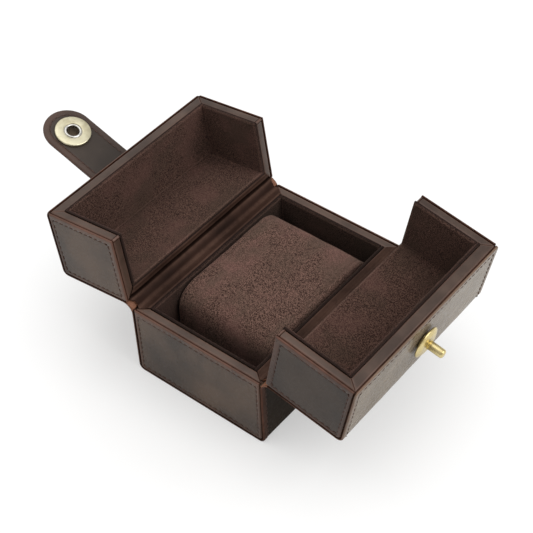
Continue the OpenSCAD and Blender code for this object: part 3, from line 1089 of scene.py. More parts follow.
def evaluated(source: Piece, name: str) -> Piece:
    """Turns an object with its modifiers into a plain mesh object, and removes the source."""
    bpy.context.view_layer.update()
    graph = bpy.context.evaluated_depsgraph_get()
    mesh = bpy.data.meshes.new_from_object(source.evaluated_get(graph), depsgraph=graph)
    mesh.transform(source.matrix_world)
    made = placed(name, mesh)
    bpy.data.objects.remove(source)
    return made


# ---------------------------------------------------------------- stitches


@dataclass
class Stitching:
    """Hand-sewn running stitches, which a node tree lays along paths on each body.

    Each is turned at random by up to the jitter, in radians, times the twist about each of its directions,
    and its length is multiplied by a random share within the spread.
    """

    pitch: float = 3.0
    length: float = 2.25
    width: float = 0.52
    jitter: float = 0.07
    twist: tuple[float, float, float] = (0.4, 1.0, 1.0)
    spread: Pair = (0.9, 1.08)
    seed: int = 11
    depth: float = 0.12
    corner: float = 0.9
    paths: dict[str, list[Array]] = field(default_factory=dict)

    def along(self, place: Place, points: Array, closed: bool = False) -> None:
        """Adds a path.

        Args:
            place: Place of the piece that is sewn.
            points: Points of the path, in the drawing's millimetres.
            closed: Whether the path comes back to its start.
        """
        path = place.points(points)
        if closed:
            path = np.concatenate([path, path[:1]])
        self.paths.setdefault(place.body, []).append(path)

    def round_panel(self, place: Place, face: Face, insets: Vec) -> None:
        """Adds a path round a panel, with round corners.

        Args:
            place: Place of the panel.
            face: The panel's rectangle.
            insets: Distances of the path inside its start, its end, the origin's side and the far side.
        """
        length, width = face.size
        r = self.corner
        low_x, high_x = insets[0] + r, length - insets[1] - r
        low_y, high_y = insets[2] + r, width - insets[3] - r
        arcs = ((high_x, low_y, -90), (high_x, high_y, 0), (low_x, high_y, 90), (low_x, low_y, 180))
        path = [point for x, y, a in arcs for point in oval((x, y), (r, r), range(a, a + 91, 30))]
        x, y = np.array(path).T
        self.along(place, face.at(x, y, self.depth), closed=True)

    def build_tree(self) -> bpy.types.NodeTree:
        """Makes the node tree, with inputs for the pitch, the thread's size, the jitter, and the seed."""
        tree = bpy.data.node_groups.new("running_stitches", "GeometryNodeTree")
        sockets = (
            ("Geometry", "Geometry", None),
            ("Pitch", "Float", self.pitch * MM),
            ("Length", "Float", self.length * MM),
            ("Width", "Float", self.width * MM),
            ("Jitter", "Float", self.jitter),
            ("Seed", "Int", self.seed),
            ("Thread", "Material", None),
        )
        for name, kind, value in sockets:
            socket = tree.interface.new_socket(name, in_out="INPUT", socket_type="NodeSocket" + kind)
            if value is not None:
                socket.default_value = value
        tree.interface.new_socket("Geometry", in_out="OUTPUT", socket_type="NodeSocketGeometry")
        g = Graph(tree)
        given = g.node("NodeGroupInput").outputs
        inputs = {"Curve": given["Geometry"], "Length": given["Pitch"]}
        spots = g.node("GeometryNodeResampleCurve", inputs, mode="LENGTH")
        bead = g.node("GeometryNodeMeshUVSphere", {"Segments": 8, "Rings": 6, "Radius": 0.5})
        thread = g.node("GeometryNodeSetShadeSmooth", {"Geometry": bead.outputs["Mesh"]})
        tangent = g.node("GeometryNodeInputTangent").outputs[0]
        aligned = g.node("FunctionNodeAlignRotationToVector", {"Vector": tangent}, axis="X")
        swings: list[NodeSocket] = []
        for sign in (-1.0, 1.0):
            most = g.node("ShaderNodeMath", {0: given["Jitter"], 1: sign}, operation="MULTIPLY").outputs[0]
            inputs = {0: self.twist, "Scale": most}
            swings.append(g.node("ShaderNodeVectorMath", inputs, operation="SCALE").outputs[0])
        inputs = {0: swings[0], 1: swings[1], "Seed": given["Seed"]}
        skew = g.node("FunctionNodeRandomValue", inputs, data_type="FLOAT_VECTOR").outputs[0]
        inputs = {0: aligned.outputs[0], 1: skew}
        turned = g.node("FunctionNodeRotateRotation", inputs, rotation_space="LOCAL")
        inputs = {2: self.spread[0], 3: self.spread[1], "Seed": given["Seed"]}
        spread = g.node("FunctionNodeRandomValue", inputs, data_type="FLOAT").outputs[1]
        long = g.node("ShaderNodeMath", {0: given["Length"], 1: spread}, operation="MULTIPLY")
        size = g.node("ShaderNodeCombineXYZ", {0: long.outputs[0], 1: given["Width"], 2: given["Width"]})
        inputs = {
            "Points": spots.outputs[0],
            "Instance": thread.outputs[0],
            "Rotation": turned.outputs[0],
            "Scale": size.outputs[0],
        }
        laid = g.node("GeometryNodeInstanceOnPoints", inputs)
        real = g.node("GeometryNodeRealizeInstances", {0: laid.outputs[0]})
        coloured = g.node("GeometryNodeSetMaterial", {0: real.outputs[0], "Material": given["Thread"]})
        g.node("NodeGroupOutput", {0: coloured.outputs[0]})
        return tree

    def sew(self) -> None:
        """Makes one piece of stitches for each body that has paths."""
        tree = self.build_tree()
        thread = finish(Finish.THREAD)
        for number, (body, paths) in enumerate(self.paths.items()):
            curve = bpy.data.curves.new(f"{body}_stitch_paths", "CURVE")
            curve.dimensions = "3D"
            for path in paths:
                spline = curve.splines.new("POLY")
                spline.points.add(len(path) - 1)
                spline.points.foreach_set("co", np.column_stack([path, np.ones(len(path))]).ravel())
            curve.materials.append(thread)
            source = placed(curve.name, curve)
            modifier = source.modifiers.new("stitches", "NODES")
            modifier.node_group = tree
            values = {"Thread": thread, "Seed": self.seed + number}
            for item in tree.interface.items_tree:
                if item.in_out == "INPUT" and item.name in values:
                    modifier[item.identifier] = values[item.name]
            stitches = evaluated(source, f"{body}_stitches")
            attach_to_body(stitches, body)
            LOG.info("%s: %d faces", stitches.name, len(stitches.data.polygons))


STITCHES = Stitching()


# ---------------------------------------------------------------- leather shared by the base and the lids


ROLLED = Edge(0.75, 0.3)
CUT = Edge(0.55)
STITCH_INSET = 2.9
PANEL_MARKS = (1.1, 1.5, 1.9, 2.3, 2.6, 2.9, 3.2, 3.5, 4.0, 5.0, 6.5)
PANEL_STEP = 3.5
STRIP = 1.2
THIN_STRIP = 0.45
RIM_DROP = 0.75


def sewn_relief(seed: int) -> Relief:
    """Relief of sewn leather: a raised border, a groove under the thread, and a slightly uneven field."""
    groove_depth, groove_width = 0.15, 0.38
    drop, before, slope = 0.14, 0.6, 1.4
    sway, long_wave, short_wave = 0.05, 26, 9

    def relief(x: Array, y: Array, inside: Array) -> Array:
        """Extra depth at each point."""
        groove = groove_depth * np.exp(-(((inside - STITCH_INSET) / groove_width) ** 2))
        t = np.clip((inside - STITCH_INSET + before) / slope, 0, 1)
        uneven = ripple(x, y, seed, long_wave) + 0.4 * ripple(x, y, seed + 1, short_wave)
        return groove + drop * t * t * (3 - 2 * t) + sway * np.clip(inside / 3, 0, 1) * uneven

    return relief


def crowned_relief(width: float, seed: int) -> Relief:
    """Relief of a narrow strip, which is fullest along its middle."""
    height, sway, wave = 0.22, 0.05, 11

    def relief(x: Array, y: Array, inside: Array) -> Array:
        """Extra depth at each point."""
        t = np.clip(inside / (width / 2), 0, 1)
        return height * (1 - t) ** 2 + sway * ripple(x, y * 2, seed, wave) * np.clip(inside / 1.5, 0, 1)

    return relief


def fuzzy_relief(seed: int) -> Relief:
    """Relief of suede over a board: soft waves, and an uneven nap."""

    def relief(x: Array, y: Array, inside: Array) -> Array:
        """Extra depth at each point."""
        fuzz = 0.06 * ripple(x, y, seed, 3.1) + 0.05 * ripple(x, y, seed + 2, 1.4)
        wave = 0.10 * (ripple(x, y, seed + 1, 18) + 1)
        return wave * np.clip(inside / 2, 0, 1) + fuzz * np.clip(inside / 0.4, 0, 1)

    return relief


def end_panel(shell: Shell, place: Place, face: Face, edges: Edges, seed: int) -> None:
    """Adds the leather of one end, which lies between the edges of the outer leather, and its stitches.

    Args:
        shell: The shell that gets the panel.
        place: Place of the body that carries it.
        face: The panel's rectangle.
        edges: Its edges. A rolled one goes under the outer leather's edge.
        seed: Seed of its uneven field.
    """
    radius, tucked = 1.8, 0.8
    rolled = [edge is ROLLED for edge in edges]
    corners = tuple(radius * (rolled[i] and rolled[j]) for i, j in ((0, 2), (1, 2), (1, 3), (0, 3)))
    pads = tuple(tucked * each for each in rolled)
    relief = sewn_relief(seed)
    shape = (edges, (0.0, 0.0), PANEL_MARKS, PANEL_STEP, corners)
    shell.panel(face, SIZES.leather, *shape, relief=relief, pads=pads)
    STITCHES.round_panel(place, face, [STITCH_INSET - pad for pad in pads])


def rim_strip(shell: Shell, face: Face, slants: Pair, seed: int, thickness: float = STRIP) -> None:
    """Adds one leather strip of a rim, with slanted ends where it is mitred.

    Args:
        shell: The shell that gets the strip.
        face: The strip's rectangle.
        slants: How much each end moves in per millimetre across.
        seed: Seed of its uneven face.
        thickness: Thickness of the strip.
    """
    ends = [Edge(0.35, 0.06) if s else Edge(0.5) for s in slants]
    edges = (*ends, Edge(0.6, 0.12), Edge(0.7, 0.1))
    relief = crowned_relief(face.size[1], seed)
    shell.panel(face, thickness, edges, slants, marks=(0.9, 1.3, 1.8), step=2.5, relief=relief)


def suede_board(shell: Shell, face: Face, free: tuple[bool, bool, bool, bool], seed: int) -> None:
    """Adds one suede-covered liner board.

    Args:
        shell: The shell that gets the board.
        face: The board's rectangle.
        free: Which edges are free, and so soft, in the order of a panel's edges.
        seed: Seed of its uneven face.
    """
    edges = tuple(Edge(0.75) if each else Edge(0.25, 0.02) for each in free)
    shell.panel(face, SIZES.liner, edges, marks=(1.1, 1.6, 2.4), step=1.6, relief=fuzzy_relief(seed))


def linings(body: str, place: Place, kind: Finish, boards: Sequence[tuple[str, Shell, str]]) -> None:
    """Makes the suede pieces of a body, each from its name, its shell and the node that it stands for."""
    for name, shell, node in boards:
        piece(f"{body}_{name}", shell, place, [kind], [f"{body}_{node}"])


# ---------------------------------------------------------------- base


@dataclass
class Base:
    """The base tray: end panels, rim strips, liners and floor pad."""

    sizes: CaseSizes = SIZES

    def panels(self) -> None:
        """Builds the leather of the front and of the back."""
        c = self.sizes
        size = (2 * c.core_x, c.base_height - c.leather)
        for name, sign, along, seed in (("front", -1, X, 3), ("back", 1, NX, 4)):
            shell = Shell()
            face = Face((sign * c.core_x, sign * c.half_y, c.leather), along, Z, size)
            end_panel(shell, BASE, face, (ROLLED, ROLLED, ROLLED, CUT), seed)
            piece(f"base_{name}_panel", shell, BASE, [Finish.PANEL], [f"base_{name}_leather"])

    def rim(self) -> None:
        """Builds the strips on the rim. Those at the hinges lie low, under the hinge leathers."""
        c = self.sizes
        x, y, z, mitre = c.core_x, c.core_y, c.base_height, c.rim_x / c.rim_y
        low, flat_mitre = z - RIM_DROP, c.rim_y / c.rim_x
        strips = (
            (Face((-x, -y, z), X, Y, (2 * x, c.rim_y)), mitre, STRIP),
            (Face((x, y, z), NX, NY, (2 * x, c.rim_y)), mitre, STRIP),
            (Face((x, -y, low), Y, NX, (2 * y, c.rim_x)), flat_mitre, THIN_STRIP),
            (Face((-x, y, low), NY, X, (2 * y, c.rim_x)), flat_mitre, THIN_STRIP),
        )
        shell = Shell()
        for seed, (face, slant, thickness) in enumerate(strips, 21):
            rim_strip(shell, face, (slant, slant), seed, thickness)
        piece("base_rim", shell, BASE, [Finish.RIM], ["base_rim_strips"])

    def lining(self) -> None:
        """Builds the suede-covered boards inside the tray."""
        c = self.sizes
        x, y, cy, floor = c.room_x, c.room_y, c.cavity_y, c.floor_top
        high = c.base_height + c.proud - floor
        sides, ends, pad = Shell(), Shell(), Shell()
        walls = (
            (sides, Face((x, cy, floor), NY, Z, (2 * cy, high))),
            (sides, Face((-x, -cy, floor), Y, Z, (2 * cy, high))),
            (ends, Face((x, -y, floor), NX, Z, (2 * x, high))),
            (ends, Face((-x, y, floor), X, Z, (2 * x, high))),
        )
        for number, (shell, face) in enumerate(walls):
            suede_board(shell, face, (False, False, False, True), 31 + 2 * number)
        suede_board(pad, Face((-x, -y, floor + c.liner), X, Y, (2 * x, 2 * y)), (False,) * 4, 39)
        boards = [("side_linings", sides, "side_liners"), ("end_linings", ends, "end_liners")]
        # The base's liners get the suede darkened as painted shade.
        linings("base", BASE, Finish.SHADED_WELL, [*boards, ("floor_lining", pad, "floor_pad")])

    def build(self) -> None:
        """Builds the whole base."""
        self.panels()
        self.rim()
        self.lining()


# ---------------------------------------------------------------- lids


@dataclass
class Lid:
    """One half lid, drawn shut and on the right."""

    side: Side
    sizes: CaseSizes = SIZES

    @property
    def place(self) -> Place:
        """Where the lid stands."""
        return lid_place(self.side)

    @property
    def name(self) -> str:
        """Name of the lid, and of its body."""
        return self.place.body

    def panels(self) -> None:
        """Builds the leather of both ends."""
        c, name, place, left = self.sizes, self.name, self.place, self.side is Side.LEFT
        x, y, low, seam = c.core_x, c.half_y, c.lid_bottom, c.half_seam
        size = (x - seam, c.shut_height - c.leather - low)
        # The right lid's end panels get the panel leather with painted shade.
        seed, kind = (52, Finish.PANEL) if left else (62, Finish.SHADED_PANEL)
        ends = Shell()
        end_panel(ends, place, Face((seam, -y, low), X, Z, size), (CUT, ROLLED, CUT, ROLLED), seed)
        end_panel(ends, place, Face((x, y, low), NX, Z, size), (ROLLED, CUT, CUT, ROLLED), seed + 1)
        piece(f"{name}_end_panels", ends, place, [kind], [f"{name}_end_leathers"])

    def rim(self) -> None:
        """Builds the strips on the lower rim and on the seam. The hinge's leather covers one of them."""
        c = self.sizes
        x, y, low, seam = c.core_x, c.core_y, c.lid_bottom, c.half_seam
        top = c.shut_height - c.leather
        mitre, flat_mitre = c.rim_x / c.rim_y, c.rim_y / c.rim_x
        lower, upright, long = (x - seam, c.rim_y), (top - low, c.rim_y), (2 * y, c.rim_x)
        strips = (
            (Face((x, -y, low), NX, Y, lower), (mitre, 0), STRIP),
            (Face((seam, y, low), X, NY, lower), (0, mitre), STRIP),
            (Face((seam, -y, low), Z, Y, upright), (0, mitre), STRIP),
            (Face((seam, y, top), NZ, NY, upright), (mitre, 0), STRIP),
            (Face((seam, -y, top), Y, NZ, long), (flat_mitre, flat_mitre), STRIP),
            (Face((x, y, low + RIM_DROP), NY, NX, long), (flat_mitre, flat_mitre), THIN_STRIP),
        )
        shell = Shell()
        for seed, (face, slants, thickness) in enumerate(strips, 71):
            rim_strip(shell, face, slants, seed, thickness)
        nodes = [f"{self.name}_rim_strips"]
        piece(f"{self.name}_rim", shell, self.place, [Finish.RIM], nodes)

    def lining(self) -> None:
        """Builds the suede-covered boards inside the lid."""
        c = self.sizes
        x, y, cy = c.room_x, c.room_y, c.cavity_y
        low, seam, top = c.lid_bottom - c.proud, c.half_seam - c.proud, c.ceiling - c.liner
        seed = 80 if self.side is Side.LEFT else 90
        side, roof, ends = Shell(), Shell(), Shell()
        walls = (
            (side, Face((x, cy, low), NY, Z, (2 * cy, c.ceiling - low)), (False, False, True, False)),
            (roof, Face((seam, -cy, top), Y, X, (2 * cy, x - seam)), (False, False, True, False)),
            (ends, Face((x, -y, low), NX, Z, (x - seam, top - low)), (False, True, True, False)),
            (ends, Face((seam, y, low), X, Z, (x - seam, top - low)), (True, False, True, False)),
        )
        for number, (shell, face, free) in enumerate(walls):
            suede_board(shell, face, free, seed + 2 * number)
        boards = [("side_lining", side, "side_liner"), ("top_lining", roof, "top_liner")]
        linings(self.name, self.place, Finish.SUEDE, [*boards, ("end_linings", ends, "end_liners")])

    def build(self) -> None:
        """Builds the whole lid."""
        self.panels()
        self.rim()
        self.lining()


# ---------------------------------------------------------------- leathers that cross a hinge


@dataclass
class Hinge:
    """The two leathers of one side that cross its hinge, each a single sheet drawn with the lid standing
    open.

    Each fold of the inner leather is a place along X, and a height over the base's rim or over the lower
    edge of the shut lid. Its painted_shade_and_wear table gives, at shares of the way from the lid to the
    base, the value that its finish reads as the distance from an edge: over 0 it is rubbed paler, partly as
    painted highlight on the ridges, and under 0 it gets painted shade in the creases.
    """

    side: Side
    sizes: CaseSizes = SIZES
    edge_radius: float = 3.0
    crease_radius: float = 4.3
    corner: float = 2.0
    raw_outside: float = 2.0
    raw_inside: float = 1.9
    stitch_gaps: Pair = (5.2, 5.4)
    thin: float = 0.38
    thicker: float = 0.95
    end_gap: float = 0.75
    notch: float = 2.4
    left_folds: tuple[Point, ...] = ((31.5, 0.42), (32.6, 0.12), (33.2, 0.10))
    right_folds: tuple[Point, ...] = ((31.5, 0.30), (32.6, 0.32), (33.2, 0.32))
    lid_folds: tuple[Point, ...] = (
        (34.9, -0.12), (33.4, -0.30), (32.2, -0.46), (31.3, -0.52), (30.6, -0.12), (30.3, 0.42)
    )
    # Over 0 rubbed paler leather, partly painted highlight on the ridges; under 0 painted shade in the
    # creases.
    painted_shade_and_wear: tuple[Point, ...] = (
        (0.0, 0.0), (0.05, 0.35), (0.12, 0.8), (0.19, 0.2), (0.25, -0.42), (0.34, -0.32),
        (0.42, 0.7), (0.55, 1.4), (0.66, 0.3), (0.70, -0.16), (0.75, 0.35), (0.82, 0.5), (0.90, 0.6),
        (0.96, -0.1), (1.0, -0.5),
    )

    @property
    def name(self) -> str:
        """Name of the side."""
        return self.side.name.lower()

    @property
    def lid(self) -> str:
        """Name of the lid's body."""
        return f"{self.name}_lid"

    def beside(self, body: str) -> Place:
        """Place of points in the row frame, drawn on the right, that ride on a body."""
        return Place(body, flip(self.side), self.side is Side.LEFT)

    def opened(self, points: Sequence[Point]) -> list[Point]:
        """Moves points in X and Z from the shut right lid to the open one."""
        rows = np.array([[x, 0.0, z, 1.0] for x, z in points]) @ self.sizes.opening(self.side).T
        return [(float(p[0]), float(p[2])) for p in rows]

    @property
    def crease(self) -> Point:
        """Where the faces of the base's wall and of the open lid's side would meet."""
        c = self.sizes
        low, high = self.opened([(c.half_x, c.lid_bottom), (c.half_x, c.shut_height)])
        return c.half_x, low[1] + (high[1] - low[1]) / (high[0] - low[0]) * (c.half_x - low[0])

    def bulge(self, radius: float, degrees: Vec) -> list[Point]:
        """Points on an arc round the centre of the outer leather's bend."""
        lean = math.radians(self.sizes.angle(self.side) - 90)
        x = self.crease[0] + self.crease_radius
        z = self.crease[1] - self.crease_radius * (math.tan(lean) + 1 / math.cos(lean))
        return oval((x, z), (radius, radius), degrees)

    def bend(self, made: Piece, start: Point, end: Point) -> None:
        """Finds the ends of a sheet's bend between the base and the lid, which nothing then uses, and bakes
        the sheet's placement into its points.
        """
        ends = [Vector(self.beside("base").points(np.array([[x, 0.0, z]]))[0]) for x, z in (start, end)]
        f"{self.name}_lid"
        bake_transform(made)

    def sheet_piece(self, sheet: Sheet, name: str, kind: Finish, nodes: Sequence[str]) -> Piece:
        """Makes a sheet's object, which rides on no single body.

        Args:
            sheet: The sheet.
            name: Name of the piece, after the side's.
            kind: Its finish.
            nodes: Nodes of the solid model that it stands for.

        Returns:
            The object.
        """
        shell = Shell()
        sheet.add_to(shell)
        place, finishes = self.beside("base"), [kind, Finish.RAW]
        return piece(f"{self.name}_{name}", shell, place, finishes, nodes, attach=False)

    def inner_path(self, step: float) -> tuple[Array, int]:
        """Path of the inner leather from the lid, over the crease, to the base.

        Args:
            step: Distance between its points.

        Returns:
            The path, and the number of its point on the crease.
        """
        c = self.sizes
        folds = self.left_folds if self.side is Side.LEFT else self.right_folds
        over = ((30.35, -0.45), (30.7, 0.08), *folds, (34.0, 0.10), (34.8, 0.28))
        over_base = [(x, c.base_height + z) for x, z in over]
        up_lid = self.opened([(x, c.lid_bottom + z) for x, z in self.lid_folds])
        across = self.bulge(self.crease_radius + c.leather + 1.35, (149, 142, 135, 128))
        path = smooth_path(over_base + across + up_lid, step)[::-1]
        return path, nearest(path, across[2])

    def inner(self) -> None:
        """Builds the soft leather that covers both rims and the crease between them."""
        c, rim, step = self.sizes, self.sizes.base_height, 0.2
        path, top = self.inner_path(step)
        number = np.arange(len(path))
        flat_base, flat_lid, longest = 0.7, 2.4, 7
        rise = np.where(number > top, c.half_x - path[:, 0] - flat_base, path[:, 1] - rim - flat_lid)
        from_crease = (number - top) * step
        notch = self.notch * np.exp(-((from_crease / 2.0) ** 4))
        reach = c.half_y - self.end_gap - np.clip(rise, 0, longest) * c.end_wall / c.side_wall - notch
        skived = 1 - 0.5 * np.abs(2 * np.linspace(0, 1, len(path)) - 1) ** 8
        thickness = self.thin * skived + self.thicker * np.exp(-((from_crease / 1.7) ** 2))
        seed = 101 if self.side is Side.LEFT else 107

        def creases(x: Array, y: Array, inside: Array) -> Array:
            """Extra depth at each point."""
            return 0.09 * np.clip(inside / 3, 0, 1) * ripple(x * 0.22, y, seed, 6.0)

        def wear_and_shade(run: Array, inside: Array) -> Array:
            """Wear, painted highlight and painted shade at each point."""
            value = np.interp(run / sheet.run[-1], *zip(*self.painted_shade_and_wear))
            return value + 0.22 * ripple(run * 1.5, inside * 0.35, seed + 3, 9.0)

        edges = (Edge(0.2), Edge(0.2), Edge(0.25))
        sheet = Sheet(path, reach, thickness, *edges, step=0.7, relief=creases, wear_and_shade=wear_and_shade)
        sheet.raw = (sheet.run[top] - self.raw_inside, sheet.run[top] + self.raw_inside)
        nodes = [f"{self.name}_hinge_gusset", f"{self.lid}_gusset_leaf"]
        # The inner leather gets the hinge leather with painted shade.
        made = self.sheet_piece(sheet, "hinge_inner", Finish.HINGE, nodes)
        self.bend(made, (37.4, rim - 0.2), (38.9, rim + 1.5))

    def outer(self) -> None:
        """Builds the outer leather, from under the base, over wall, hinge and lid, to the seam."""
        c, crease, left = self.sizes, self.crease, self.side is Side.LEFT
        shut = ((c.half_x, c.lid_bottom), (c.half_x, c.shut_height), (c.half_seam, c.shut_height))
        low, high, seam = self.opened(shut)
        corners = [(0.0, 0.0), (c.half_x, 0.0), crease, high, seam]
        path = rounded_path(corners, (self.edge_radius, self.crease_radius, self.edge_radius))
        each = np.ones(len(path))
        # The right outer leather gets painted light and reflection on the lid's top, and painted shade on the
        # base's wall.
        kind, relief = (Finish.PANEL, sewn_relief(5)) if left else (Finish.LIT_AND_SHADED_PANEL, sewn_relief(8))
        looks = (BUTT, CUT, CUT, PANEL_MARKS, PANEL_STEP, relief)
        sheet = Sheet(path, c.half_y * each, c.leather * each, *looks, corner=self.corner)
        middle = sheet.run[nearest(path, crease)]
        sheet.raw = (middle - self.raw_outside, middle + self.raw_outside)
        ends = [f"{self.lid}_spine_leaf", f"{self.lid}_wrap_leather"]
        nodes = ["base_wrap_leather", f"{self.name}_hinge_spine", *ends]
        made = self.sheet_piece(sheet, "outer_leather", kind, nodes)
        self.bend(made, (c.half_x, c.base_height), low)
        self.sew(sheet, middle)

    def sew(self, sheet: Sheet, middle: float) -> None:
        """Lays the outer leather's stitches: along both edges on the base, and round its part on the lid.

        Args:
            sheet: The leather.
            middle: Distance along it at the crease, beside which it isn't sewn.
        """
        step, depth = 0.5, STITCHES.depth
        line, last = self.sizes.half_y - STITCH_INSET, sheet.run[-1] - STITCH_INSET
        under = np.arange(2.0, middle - self.stitch_gaps[0], step)
        over = np.arange(middle + self.stitch_gaps[1], last, step)
        for sign in (-1, 1):
            STITCHES.along(self.beside("base"), sheet.at(under, sign * line, depth))
        across = np.linspace(-line, line, 40)
        runs = np.concatenate([over, np.full(len(across), last), over[::-1]])
        places = np.concatenate([np.full(len(over), -line), across, np.full(len(over), line)])
        STITCHES.along(self.beside(self.lid), sheet.at(runs, places, depth))

    def build(self) -> None:
        """Builds both leathers."""
        self.inner()
        self.outer()


# ---------------------------------------------------------------- strap


@dataclass
class Strap:
    """The strap: a tail sewn to the left lid, a bend, and the free part with its round tip."""

    half_width: float = 12.5
    half_thickness: float = 1.35
    tail: float = 14.3
    reach: float = 38.493
    overrun: float = 2.2
    lean: float = 64.1
    fillet: float = 3.2
    bend_x: float = 20.35
    bend_z: float = 83.2
    half_bend: float = 3.0
    corner: float = 3.0
    edge: float = 1.05
    hole: float = 3.6
    border_inset: float = 2.1
    stitch_inset: float = 3.3
    insets: tuple[float, ...] = (1.1, 1.6, 2.1, 2.5, 2.9, 3.2, 3.5, 3.8, 4.3, 5.2, 6.6, 8.2, 9.8, 11.0)

    @property
    def lid(self) -> Place:
        """Place of the lid that carries the strap."""
        return lid_place(Side.LEFT)

    @property
    def place(self) -> Place:
        """Place of the free part, whose bend is at the origin and whose tip is towards -X."""
        matrix = self.lid.matrix @ shift(self.bend_x, 0, self.bend_z) @ turn_y(self.lean)
        return Place("strap", matrix, True)

    def section(self, inset: float) -> float:
        """Height of the strap's face over its middle plane, at a distance from its edge."""
        border_high, border_width, groove_deep, groove_width, flat_depth = 0.16, 0.9, 0.30, 0.42, 0.22
        border = border_high * math.exp(-(((inset - self.border_inset) / border_width) ** 2))
        groove = groove_deep * math.exp(-(((inset - self.stitch_inset) / groove_width) ** 2))
        return self.half_thickness - flat_depth + border - groove

    def profile(self) -> list[Point]:
        """Section from the middle of the outer face, round the edge, to the middle of the underside."""
        full = self.section(self.insets[0])
        face = [(d, self.section(d)) for d in reversed(self.insets)]
        turns = np.linspace(math.pi / 2, 0, 6)[1:]
        upper = face + [(self.edge - self.edge * math.cos(a), full * math.sin(a)) for a in turns]
        return upper + [(d, -h) for d, h in reversed(upper[:-1])]

    def loop(self, inset: float) -> Array:
        """Outline at an inset, as distances along the strap and across it."""
        half, total = self.half_width - inset, self.tail + self.reach + self.overrun
        cut = max(self.corner - inset, 0.25)
        turns = np.linspace(0, math.pi / 2, 7)
        arc = [(inset + cut - cut * math.cos(a), half - cut + cut * math.sin(a)) for a in turns]
        bend = list(np.linspace(self.tail - self.half_bend, self.tail + self.half_bend, 15))
        before = list(np.linspace(arc[-1][0], bend[0], 6))[1:-1]
        after = list(np.linspace(bend[-1], total, 28))[1:]
        turns = np.linspace(0, math.pi / 2, 22)[1:]
        tip = [(total + half * math.sin(a), half * math.cos(a)) for a in turns]
        upper = arc + [(u, half) for u in before + bend + after] + tip
        return np.array(upper + [(u, -v) for u, v in reversed(upper[:-1])])

    def along(self, u: Array, v: Array, w: Array) -> Array:
        """Moves flat strap coordinates to the shut lid's.

        Args:
            u: Distance from the tail's cut end.
            v: Distance across.
            w: Height over the middle plane.

        Returns:
            The points, in millimetres.
        """
        lean = math.radians(self.lean)
        span = self.fillet * math.tan(lean / 2)
        turn = np.clip((u - (self.tail - span)) / (2 * span), 0, 1) * lean
        cx, cz = self.bend_x + span, self.bend_z + self.fillet
        past = np.maximum(u - (self.tail + span), 0)
        before = np.maximum(self.tail - span - u, 0)
        radius = self.fillet - w
        x = cx + before - radius * np.sin(turn) - past * math.cos(lean)
        z = cz - radius * np.cos(turn) + past * math.sin(lean)
        return np.stack([x, v, z], axis=-1)

    def body(self) -> Piece:
        """Makes the strap's closed body, without its hole."""
        profile = self.profile()
        loops = [self.loop(d) for d, _ in profile]
        count = len(loops[0])
        flat = np.array([np.column_stack([lp, np.full(count, h)]) for lp, (_, h) in zip(loops, profile)])
        wave = 0.05 * ripple(flat[..., 0], flat[..., 1], 131, 13)
        w = flat[..., 2] + wave * np.sign(flat[..., 2])
        points = self.along(flat[..., 0], flat[..., 1], w).reshape(-1, 3)
        index = np.arange(len(points)).reshape(len(profile), count)
        faces = _quads(np.column_stack([index, index[:, 0]]))
        for row, way in ((index[0], 1), (index[-1], -1)):
            faces += [f[::way] for f in self.cover(row)]
        faces = outwards(points, faces)
        shell = Shell()
        shell.add(points, faces, np.repeat([d for d, _ in profile], count))
        return piece("strap_body", shell, self.lid, [Finish.STRAP], attach=False)

    def cover(self, row: Array) -> list[Corners]:
        """Faces that close the narrow slot inside an outline, from one of its sides to the other."""
        half, count = len(row) // 2, len(row)
        faces = [(row[j], row[j + 1], row[count - j - 2], row[count - j - 1]) for j in range(half)]
        return [tuple(dict.fromkeys(f)) for f in faces]

    def build(self) -> None:
        """Builds the strap, cuts the eyelet's hole, and lays the stitches."""
        body = self.body()
        cutter = Shell()
        r, tall = self.hole, 4
        cutter.lathe([(0, -tall), (r, -tall), (r, tall), (0, tall)], (-self.reach, 0, 0), 48)
        tool = piece("strap_hole", cutter, self.place, [Finish.STRAP], attach=False)
        cut = body.modifiers.new("hole", "BOOLEAN")
        cut.operation, cut.solver, cut.object = "DIFFERENCE", "EXACT", tool
        made = evaluated(body, "strap")
        bpy.data.objects.remove(tool)
        bend = np.array([self.tail - self.half_bend, self.tail + self.half_bend])
        ends = self.along(bend, np.zeros(2), np.zeros(2))
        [Vector(p) for p in self.lid.points(ends)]
        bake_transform(made)
        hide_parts("strap_tail", "strap_face", "strap_lining")
        LOG.info("strap: %d faces", len(made.data.polygons))
        self.sew()

    def sew(self) -> None:
        """Lays the stitches on both faces of the free part, and on the tail's outer face."""
        line = self.loop(self.stitch_inset)
        height = self.section(self.stitch_inset) + 0.1
        round_tail = np.roll(np.arange(len(line)), -(len(line) // 2))
        near = round_tail[line[round_tail, 0] < self.tail - 3.4]
        free = np.where(line[:, 0] > self.tail + 4.0)[0]
        for sign in (1, -1):
            points = self.along(line[:, 0], line[:, 1], np.full(len(line), sign * height))
            STITCHES.along(Place("strap", self.lid.matrix, True), points[free])
            if sign > 0:
                STITCHES.along(self.lid, points[near])


# ---------------------------------------------------------------- snap


QUARTER = np.linspace(0, 90, 7)


